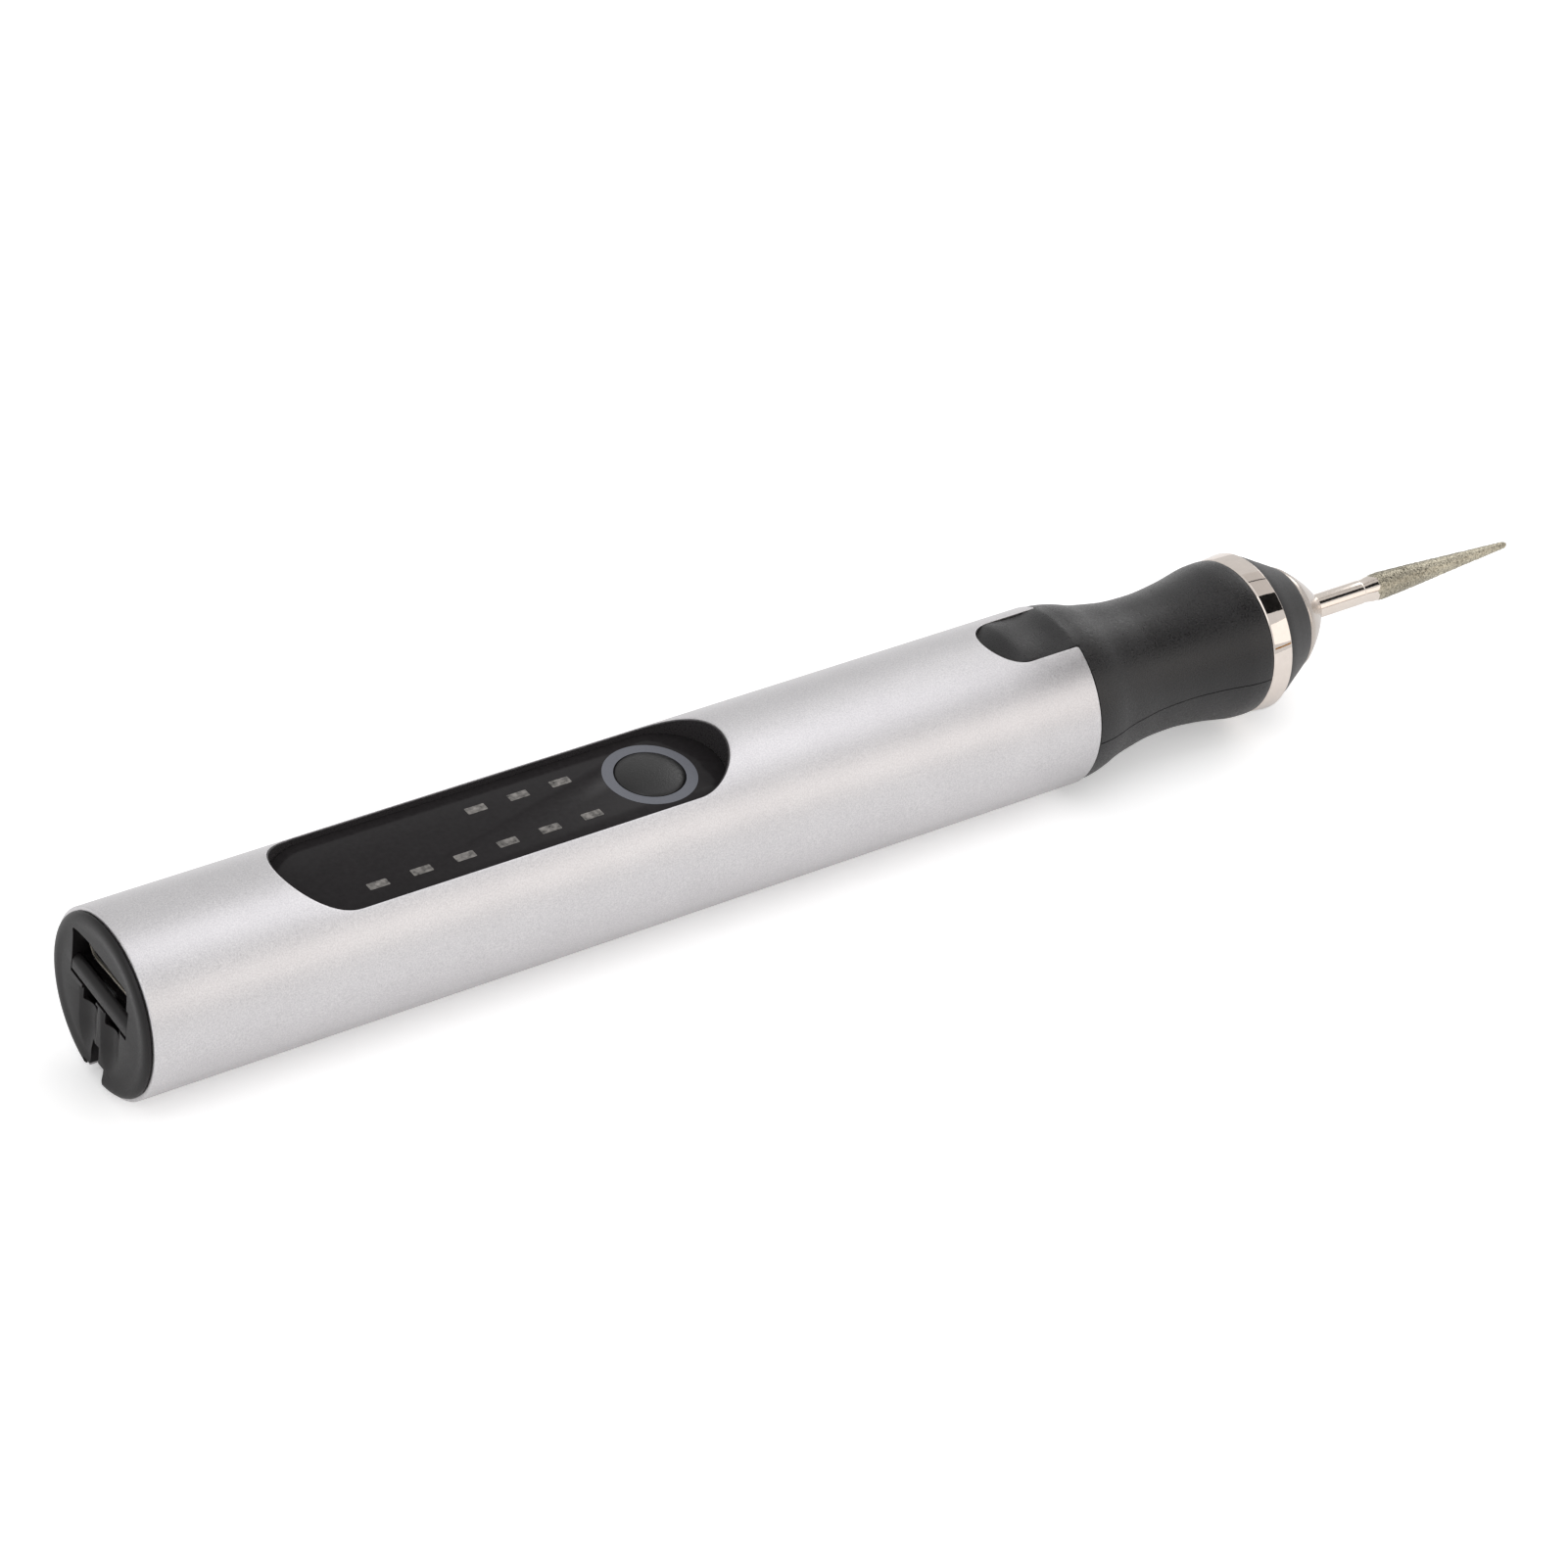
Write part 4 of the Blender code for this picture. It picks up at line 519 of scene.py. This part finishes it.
inkBottom = panel["top"] + panel["printGap"]
inkTop = inkBottom + panel["printHeight"]
ring = turned([(inkBottom, panel["ringInner"], 0.0), (inkTop, panel["ringInner"], 0.0),
               (inkTop, panel["ringOuter"], 0.0), (inkBottom, panel["ringOuter"], 0.0)],
              panel["ringSides"], axis="z")
bmesh.ops.translate(ring, vec=(panel["buttonX"], 0.0, 0.0), verts=ring.verts)
setPiece(rawPiece(ring), "buttonRingPrint", [printedInk], "housing", slot="black_acrylic")

rowEnd = panel["rowStart"] + (panel["nearRow"] - 1) * panel["rowStep"]
windowPlaces = [(panel["rowStart"] + panel["rowStep"] * n, -panel["rowOffset"]) for n in range(panel["nearRow"])]
windowPlaces += [(rowEnd - panel["rowStep"] * n, panel["rowOffset"]) for n in range(panel["farRow"])]
windows = bmesh.new()
for x, y in windowPlaces:
    window = bmesh.ops.create_cube(windows, size=1.0)["verts"]
    size = (panel["windowLength"], panel["windowWidth"], panel["printHeight"])
    bmesh.ops.scale(windows, vec=size, verts=window)
    bmesh.ops.translate(windows, vec=(x, y, (inkBottom + inkTop) / 2), verts=window)
roundOff(windows, [e for e in windows.edges if reach(e).z > 0.001], panel["windowRound"])
setPiece(rawPiece(windows), "lampWindows", [lampWindowPrint], "housing", slot="black_acrylic")


print("panel carrier")
carrier = {
    "start": 11.8, "end": 63.7, "radius": 7.3, "endRound": 0.1, "bottom": 1.2, "floor": 4.9, "roof": 0.65,
    "bayWidth": 11.8, "bayEnd": 70.0, "sides": 160,
    "liner": 0.12, "linerGap": 0.02, "linerFoot": 0.1,  # a thin wall up the slot's sides
    "linerSink": 0.2, "trimSpan": (10.0, 65.0), "trimSides": 192,  # it stops this far below the tube's skin
    "buttonHole": 4.0, "lampWell": (2.2, 1.4), "holeLow": 3.0, "holeHigh": 6.0,
}
carrierShell = rawPiece(turned([
    (carrier["start"], 0.0, 0.0), (carrier["start"], carrier["radius"], carrier["endRound"]),
    (carrier["end"], carrier["radius"], carrier["endRound"]), (carrier["end"], 0.0, 0.0),
], carrier["sides"]))
carve(carrierShell, block((0.0, -pastSkin, -pastSkin), (carrier["bayEnd"], pastSkin, carrier["bottom"])))
carve(carrierShell, block((0.0, -carrier["bayWidth"] / 2, 0.0),
                          (carrier["bayEnd"], carrier["bayWidth"] / 2, carrier["floor"] - carrier["roof"])))
carve(carrierShell, plate(displaySlot(), carrier["floor"], pastSkin))
liner = plate(displaySlot(-carrier["linerGap"]), carrier["floor"] - carrier["linerFoot"], pastSkin)
carve(carrierShell, liner, "UNION")
linerTop = tube["radius"] - carrier["linerSink"]
rear, front = carrier["trimSpan"]
carve(carrierShell, turned([(rear, 0.0, 0.0), (rear, linerTop, 0.0), (front, linerTop, 0.0), (front, 0.0, 0.0)],
                           carrier["trimSides"]), "INTERSECT")
carve(carrierShell, plate(displaySlot(-carrier["liner"]), carrier["floor"], pastSkin))
long, wide = carrier["lampWell"]
for x, y in windowPlaces:
    carve(carrierShell, block((x - long / 2, y - wide / 2, carrier["holeLow"]),
                              (x + long / 2, y + wide / 2, carrier["holeHigh"])))
wellUnderButton = circlePoints(panel["buttonX"], carrier["buttonHole"], 60)
carve(carrierShell, plate(wellUnderButton, carrier["holeLow"], carrier["holeHigh"]))
# the carrier takes the lighter-painted ABS, painted light on the slot's walls
setPiece(carrierShell, "panelCarrier", [paintedLitAbs], "housing", "panel_carrier", slot="black_abs")


print("power button")
button = {
    "radius": 3.14, "edge": 5.78, "dome": 0.68, "wall": 0.5, "roof": 5.25, "roofRound": 0.1,
    "flange": 3.7, "flangeTop": 4.85, "flangeBottom": 4.5, "flangeRound": 0.05, "domeSteps": 12, "sides": 96,
}
buttonCorners = []
for step in range(button["domeSteps"] + 1):
    turn = quarterTurn * step / button["domeSteps"]
    buttonCorners.append((button["edge"] + button["dome"] * math.cos(turn), button["radius"] * math.sin(turn), 0.0))
buttonBore = button["radius"] - button["wall"]
buttonCorners += [
    (button["flangeTop"], button["radius"], button["flangeRound"]),
    (button["flangeTop"], button["flange"], button["flangeRound"]),
    (button["flangeBottom"], button["flange"], button["flangeRound"]),
    (button["flangeBottom"], buttonBore, button["flangeRound"]),
    (button["roof"], buttonBore, button["roofRound"]),
    (button["roof"], 0.0, 0.0),
]
dome = turned(buttonCorners, button["sides"], axis="z")
bmesh.ops.translate(dome, vec=(panel["buttonX"], 0.0, 0.0), verts=dome.verts)
setPiece(rawPiece(dome), "powerButton", [keycapAbs], "button", "power_button", slot="black_abs")


print("grip")
grip = {
    "start": 98.05, "end": 119.0, "spigotStart": 86.45, "spigot": 7.3, "endRound": 0.1, "steps": 80,
    "side": [(98.05, 8.38), (98.9, 8.32), (99.9, 8.16), (101.0, 7.87), (102.0, 7.53), (103.05, 7.26),
             (104.1, 7.06), (105.2, 6.86), (106.25, 6.69), (107.3, 6.59), (108.4, 6.54), (109.5, 6.52),
             (110.5, 6.53), (111.55, 6.60), (112.6, 6.71), (113.7, 6.84), (114.75, 7.0), (115.8, 7.2),
             (116.9, 7.4), (117.9, 7.47), (118.6, 7.47), (119.0, 7.42)],
    "frontSpigot": 6.2, "frontSpigotEnd": 122.4, "shoulder": 4.5, "tunnel": 3.5,
    "seat": 5.2, "frontSeat": (113.7, 118.3), "rearSeat": (102.7, 107.3),  # where the two bearings sit
    "motorSeat": 6.3, "motorSeatEnd": 95.6,
    "seam": 0.006,  # half the gap between the two shells, in radians
}
rearSeatStart, rearSeatEnd = grip["rearSeat"]
frontSeatStart, frontSeatEnd = grip["frontSeat"]
gripCorners = [
    (grip["spigotStart"], grip["spigot"], grip["endRound"]), (grip["start"], grip["spigot"], 0.0),
    *smoothSide(grip["side"]),
    (grip["end"], grip["frontSpigot"], 0.0),
    (grip["frontSpigotEnd"], grip["frontSpigot"], grip["endRound"]),
    (grip["frontSpigotEnd"], grip["shoulder"], grip["endRound"]),
    (frontSeatEnd, grip["shoulder"], 0.0), (frontSeatEnd, grip["seat"], 0.0),
    (frontSeatStart, grip["seat"], 0.0), (frontSeatStart, grip["shoulder"], 0.0),
    (rearSeatEnd, grip["shoulder"], 0.0), (rearSeatEnd, grip["seat"], 0.0),
    (rearSeatStart, grip["seat"], 0.0), (rearSeatStart, grip["tunnel"], 0.0),
    (grip["motorSeatEnd"], grip["tunnel"], 0.0), (grip["motorSeatEnd"], grip["motorSeat"], 0.0),
    (grip["spigotStart"], grip["motorSeat"], grip["endRound"]),
]
for name, node, start in (("gripLowerShell", "grip_lower_shell", quarterTurn),
                          ("gripUpperShell", "grip_upper_shell", -quarterTurn)):
    shell = turned(gripCorners, grip["steps"], start=start + grip["seam"], turn=math.pi - 2 * grip["seam"])
    setPiece(rawPiece(shell), name, [softTouch], "housing", node, slot="soft_touch_black")

gripKey = {
    "gap": 0.1, "front": 0.6, "bottom": 6.5, "top": 10.0, "edgeRound": 0.06, "crownStart": 88.0, "sides": 192,
    "crown": [(89.0, 7.3), (89.9, 7.7), (90.8, 8.08), (91.6, 8.37), (92.2, 8.44), (93.2, 8.38), (94.6, 8.26),
              (95.9, 8.27), (97.0, 8.42), (97.6, 8.48), (98.1, 8.42), (98.6, 8.35), (98.9, 8.31)],  # a scooped pad
}
keyRadius = tube["keyWidth"] / 2 - gripKey["gap"]
keyFront = grip["start"] + gripKey["front"]
keyTab = arcPoints(tube["keyStart"] + tube["keyWidth"] / 2, 0.0, keyRadius, 90, 270, 30)
keyTab += [(keyFront, -keyRadius), (keyFront, keyRadius)]
key = rawPiece(plate(keyTab, gripKey["bottom"], gripKey["top"]))
crownEnd = gripKey["crown"][-1][0]
crown = turned([(gripKey["crownStart"], 0.0, 0.0), *smoothSide(gripKey["crown"]), (crownEnd, 0.0, 0.0)],
               gripKey["sides"])
carve(key, crown, "INTERSECT")
soften(key, gripKey["edgeRound"])
setPiece(key, "gripKey", [softTouch], "housing", slot="soft_touch_black")


print("trim ring and nose")
trim = {
    "start": 119.08, "end": 121.12, "rear": 7.42, "front": 7.65, "bore": 6.5,
    "round": 0.1, "rearRound": 0.22, "boreRound": 0.05, "sides": 192,
}
trimRing = turned([
    (trim["start"], trim["bore"], trim["boreRound"]), (trim["start"], trim["rear"], trim["rearRound"]),
    (trim["end"], trim["front"], trim["round"]), (trim["end"], trim["bore"], trim["boreRound"]),
], trim["sides"], segments=4)
setPiece(rawPiece(trimRing), "trimRing", [chromePlate], "housing", "trim_ring", slot="bright_chrome")

cone = {
    "start": 121.2, "end": 125.5, "bore": 3.9, "seat": 6.5, "seatEnd": 122.7, "edgeRound": 0.05, "sides": 160,
    "side": [(121.2, 7.5), (121.7, 7.28), (122.2, 7.02), (122.7, 6.74), (123.25, 6.43), (123.8, 6.13),
             (124.3, 5.85), (124.9, 5.52), (125.45, 5.2)],
}
noseCone = turned([
    (cone["start"], cone["seat"], cone["edgeRound"]),
    *smoothSide(cone["side"]),
    (cone["end"], cone["bore"], cone["edgeRound"]),
    (cone["seatEnd"], cone["bore"], 0.0), (cone["seatEnd"], cone["seat"], 0.0),
], cone["sides"])
setPiece(rawPiece(noseCone), "noseCone", [mouldedAbs], "housing", "nose_cone", slot="black_abs")

tip = {
    "start": 125.55, "stub": 3.6, "stubStart": 123.2, "stubRound": 0.05, "chamber": 2.7, "chamberEnd": 125.0,
    "collar": [(125.55, 5.12, 0.1), (126.05, 4.98, 0.1), (126.12, 4.84, 0.0), (126.2, 4.8, 0.0)],
    "side": [(126.28, 4.78), (126.8, 4.4), (127.3, 4.0), (127.9, 3.48), (128.5, 2.92), (129.0, 2.38),
             (129.4, 1.94), (129.75, 1.6)],
    "end": 129.8, "mouth": 1.4, "sides": 192,
}
noseTip = turned([
    (tip["stubStart"], tip["chamber"], tip["stubRound"]), (tip["stubStart"], tip["stub"], tip["stubRound"]),
    (tip["start"], tip["stub"], 0.0),
    *tip["collar"],
    *smoothSide(tip["side"]),
    (tip["end"], tip["mouth"], 0.0),
    (tip["chamberEnd"], tip["mouth"], 0.0), (tip["chamberEnd"], tip["chamber"], 0.0),
], tip["sides"])
setPiece(rawPiece(noseTip), "noseTip", [satinNickel], "housing", "nose_tip", slot="satin_nickel")


print("engraving bit")
bit = {
    "start": 109.9, "radius": 1.175, "startRound": 0.3, "shankEnd": 135.6, "shankRound": 0.04, "sides": 80,
    "head": [(135.7, 1.14), (136.3, 1.15), (137.0, 1.25), (137.7, 1.29), (138.5, 1.29), (140.3, 1.2),
             (142.2, 1.09), (145.9, 0.84), (149.7, 0.59), (153.3, 0.36), (154.0, 0.3), (154.3, 0.2)],
    "end": 154.39, "stonesEnd": 154.36,
    "gritStart": 137.3, "startWander": 0.5, "startWaves": 1.5,  # the start line wanders, in waves per mm
    "stoneSize": 0.17, "stoneHeight": 0.055, "stoneLift": 0.25, "fineHeight": 0.6, "fineSize": 2.1,
}
bitShape = turned([
    (bit["start"], 0.0, 0.0), (bit["start"], bit["radius"], bit["startRound"]),
    (bit["shankEnd"], bit["radius"], bit["shankRound"]),
    *smoothSide(bit["head"], 20),
    (bit["end"], 0.0, 0.0),
], bit["sides"])
bmesh.ops.remove_doubles(bitShape, verts=bitShape.verts, dist=mergeWithin)


def wander(y, z, perUnit):
    # how far along the pen the grit's start line strays here
    return bit["startWander"] * noise.noise(Vector((0.0, y, z)) * perUnit)


for v in bitShape.verts:  # stones stand out of the plating, all but at the very point
    past = v.co.x - bit["gritStart"] - wander(v.co.y, v.co.z, bit["startWaves"])
    if past > 0 and v.co.x < bit["stonesEnd"]:
        out = Vector((0.0, v.co.y, v.co.z)).normalized()
        place = v.co / bit["stoneSize"]
        stone = noise.noise(place) + bit["fineHeight"] * noise.noise(place * bit["fineSize"])
        v.co += out * bit["stoneHeight"] * (bit["stoneLift"] + stone) * min(1.0, past * 2)
engravingBit = rawPiece(bitShape)
setPiece(engravingBit, "engravingBit", [polishedSteel, diamondGrit], "bit", "engraving_bit", slot="satin_nickel")
gritStart = tailCentre.x + bit["gritStart"] * mm
for polygon in engravingBit.data.polygons:
    at = polygon.center
    uneven = mm * wander(at.y, at.z - tailCentre.z, bit["startWaves"] / mm)
    polygon.material_index = 1 if at.x > gritStart + uneven else 0


print("parts inside")
insideFinishes = {
    "satin_nickel": satinNickel,
    "bearing_steel": polishedSteel,
    "black_abs": mouldedAbs,
    # free-machining brass, turned: warm yellow with a soft shine
    "brass": grainy("turnedBrass", "#b08d49", "#c9a75e", roughness=0.3, grain=0.15, bump=0.15, metallic=1.0),
    # porous sintered bronze: dull brown and speckled
    "sintered_bronze": grainy("sinteredBronze", "#7d5c38", "#9c7748", roughness=0.5, grain=0.1, bump=0.5,
                              metallic=1.0),
    # glass-fibre laminate under solder mask: even dark green
    "board_laminate": grainy("boardLaminate", "#0d3b22", "#14512f", roughness=0.4, grain=0.6, bump=0.1),
    # moulded epoxy of chip packages: matt near-black
    "chip_epoxy": grainy("chipEpoxy", "#191919", "#232323", roughness=0.55, grain=0.08, bump=0.2),
    # milky lamp epoxy: pale and smooth
    "lamp_epoxy": grainy("lampEpoxy", "#cfcbb8", "#e3e0d2", roughness=0.35, grain=0.2, bump=0.05),
    # shrink sleeve over the cell: smooth blue with a wide shine
    "cell_sleeve": grainy("cellSleeve", "#1b4a7c", "#24598f", roughness=0.3, grain=0.7, bump=0.1),
    # pressed ferrite magnet: rough dark grey
    "ferrite": grainy("ferrite", "#3a3838", "#4a4746", roughness=0.7, grain=0.1, bump=0.4),
    # stacked iron laminations: mid grey with a soft, uneven shine
    "laminated_iron": grainy("laminatedIron", "#8d8985", "#a39f9b", roughness=0.42, grain=0.25, bump=0.3,
                             metallic=1.0),
    # moulded rubber: matt black
    "black_rubber": grainy("mouldedRubber", "#191819", "#232223", roughness=0.8, grain=0.12, bump=0.3),
    # extruded PVC insulation: smooth, with a soft shine
    "red_insulation": grainy("redPvc", "#a81f1b", "#bf2b25", roughness=0.42, grain=0.2, bump=0.1),
    "black_insulation": grainy("blackPvc", "#1a1a1b", "#262627", roughness=0.42, grain=0.2, bump=0.1),
}
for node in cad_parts.values():
    finish = insideFinishes.get(node.material_slots[0].name)
    if finish and not node.hide_render:
        node.material_slots[0].material = finish


print("studio")
studio = {
    "floorSize": 4.0, "floorDrop": 0.00002,  # in metres: the floor lies a hair below the pen
    "paperLift": 0.3,  # how strongly the paper glows to the camera
    "paperColour": "#e1e1e1", "seenColour": "#ffffff",  # as the light finds it, and as the eye and metal see it
    "worldColour": "#ffffff", "world": 0.77,
}
floorShape = bmesh.new()
bmesh.ops.create_grid(floorShape, x_segments=2, y_segments=2, size=studio["floorSize"])
floor = newObject(floorShape, "floor")
floor.location.z = -studio["floorDrop"]
paper, tree, sheet = newMaterial("whitePaper", {
    "Roughness": 0.9, "Specular IOR Level": 0.1, "Emission Color": srgb(studio["seenColour"]),
})
ray = addNode(tree, "LightPath").outputs
direct = addNode(tree, "Math", {"operation": "MAXIMUM"},
                 links={0: ray["Is Camera Ray"], 1: ray["Is Glossy Ray"]})
seen = addNode(tree, "Math", {"operation": "MAXIMUM"},
               links={0: direct.outputs["Value"], 1: ray["Is Transmission Ray"]})
shade = addNode(tree, "Mix", {"data_type": "RGBA"},
                {"A": srgb(studio["paperColour"]), "B": srgb(studio["seenColour"])},
                {"Factor": seen.outputs["Value"]})
tree.links.new(shade.outputs["Result"], sheet.inputs["Base Color"])
glow = addNode(tree, "Math", {"operation": "MULTIPLY"}, {1: studio["paperLift"]}, {0: ray["Is Camera Ray"]})
tree.links.new(glow.outputs["Value"], sheet.inputs["Emission Strength"])
floor.data.materials.append(paper)

world = bpy.data.worlds.new("studio")
bpy.context.scene.world = world
world.use_nodes = True
background = world.node_tree.nodes["Background"]
background.inputs["Color"].default_value = srgb(studio["worldColour"])
background.inputs["Strength"].default_value = studio["world"]

# cards round the trim ring, which only polished metal shows: from and to, in degrees round from +y, how
# many metres out from the pen's axis, and the colour. A narrow card stands just in front of a wide one
cards = {
    "paleCard": (64.0, 101.5, 0.05, "#f4f2f0"),
    "thinCard": (78.0, 79.6, 0.049, "#0a0809"),
    "blackCard": (101.5, 126.5, 0.05, "#050505"),
    "amberEdge": (170.2, 172.2, 0.049, "#c08a45"),
}
cardStand = {"x": 0.078, "z": 0.0085, "length": 0.062}
for name, (first, last, out, colour) in cards.items():
    card = bmesh.new()
    bmesh.ops.create_grid(card, x_segments=1, y_segments=1, size=0.5)
    width = 2 * out * math.tan(math.radians(last - first) / 2)
    turn = Matrix.Rotation(math.radians((first + last) / 2) - quarterTurn, 3, "X")
    bmesh.ops.scale(card, vec=(cardStand["length"], width, 1.0), verts=card.verts)
    bmesh.ops.translate(card, vec=(cardStand["x"], 0.0, out), verts=card.verts)
    bmesh.ops.rotate(card, verts=card.verts, cent=centre, matrix=turn)
    bmesh.ops.translate(card, vec=(0.0, 0.0, cardStand["z"]), verts=card.verts)
    made = newObject(card, name)
    made.visible_camera = made.visible_diffuse = made.visible_shadow = made.visible_transmission = False
    cloth, _, _ = newMaterial(name, {"Base Color": srgb(colour), "Roughness": 1.0})
    made.data.materials.append(cloth)

# soft boxes, by the direction they stand in, how far off, how wide and high, and how bright they look
lamps = {
    "topBox": {"towards": (0.47, -0.06, 0.86), "far": 2.0, "size": (2.6, 1.3), "bright": 0.62, "tint": "#fbfaff"},
    "frontBox": {"towards": (0.47, -0.78, 0.38), "far": 2.0, "size": (2.6, 0.95), "bright": 0.62, "tint": "#fff5ec"},
    "backBox": {"towards": (0.8, 0.42, 0.46), "far": 2.0, "size": (0.8, 0.7), "bright": 2.0, "tint": "#ffffff"},
    "cameraBox": {"towards": (-0.6, -0.35, 0.72), "far": 1.6, "size": (1.2, 1.0), "bright": 0.8, "tint": "#ffffff"},
}
for name, lamp in lamps.items():
    light = bpy.data.lights.new(name, "AREA")
    light.shape = "RECTANGLE"
    light.size, light.size_y = lamp["size"]
    light.color = srgb(lamp["tint"])[:3]
    light.energy = lamp["bright"] * math.pi * light.size * light.size_y
    box = bpy.data.objects.new(name, light)
    box.location = Vector(lamp["towards"]).normalized() * lamp["far"]
    outwards = box.location.normalized()
    along = (Vector((1, 0, 0)) - outwards * outwards.x).normalized()
    facing = Matrix((along, outwards.cross(along), outwards)).transposed().to_4x4()
    box.matrix_world = Matrix.Translation(box.location) @ facing
    bpy.context.collection.objects.link(box)


print("camera")
view = {
    "place": (-0.249813, -0.296329, 0.293679), "right": (0.81918, -0.56316, 0.10859),
    "up": (0.26953, 0.54513, 0.79384), "lens": 122.70, "sensor": 36.0, "nearest": 0.01,
}
cameraData = bpy.data.cameras.new("camera")
cameraData.lens = view["lens"]
cameraData.sensor_width = view["sensor"]
cameraData.clip_start = view["nearest"]
camera = bpy.data.objects.new("camera", cameraData)
right, up = Vector(view["right"]), Vector(view["up"])
camera.matrix_world = Matrix.Translation(view["place"]) @ Matrix((right, up, right.cross(up))).transposed().to_4x4()
bpy.context.collection.objects.link(camera)
bpy.context.scene.camera = camera
bpy.context.scene.view_settings.view_transform = "Standard"
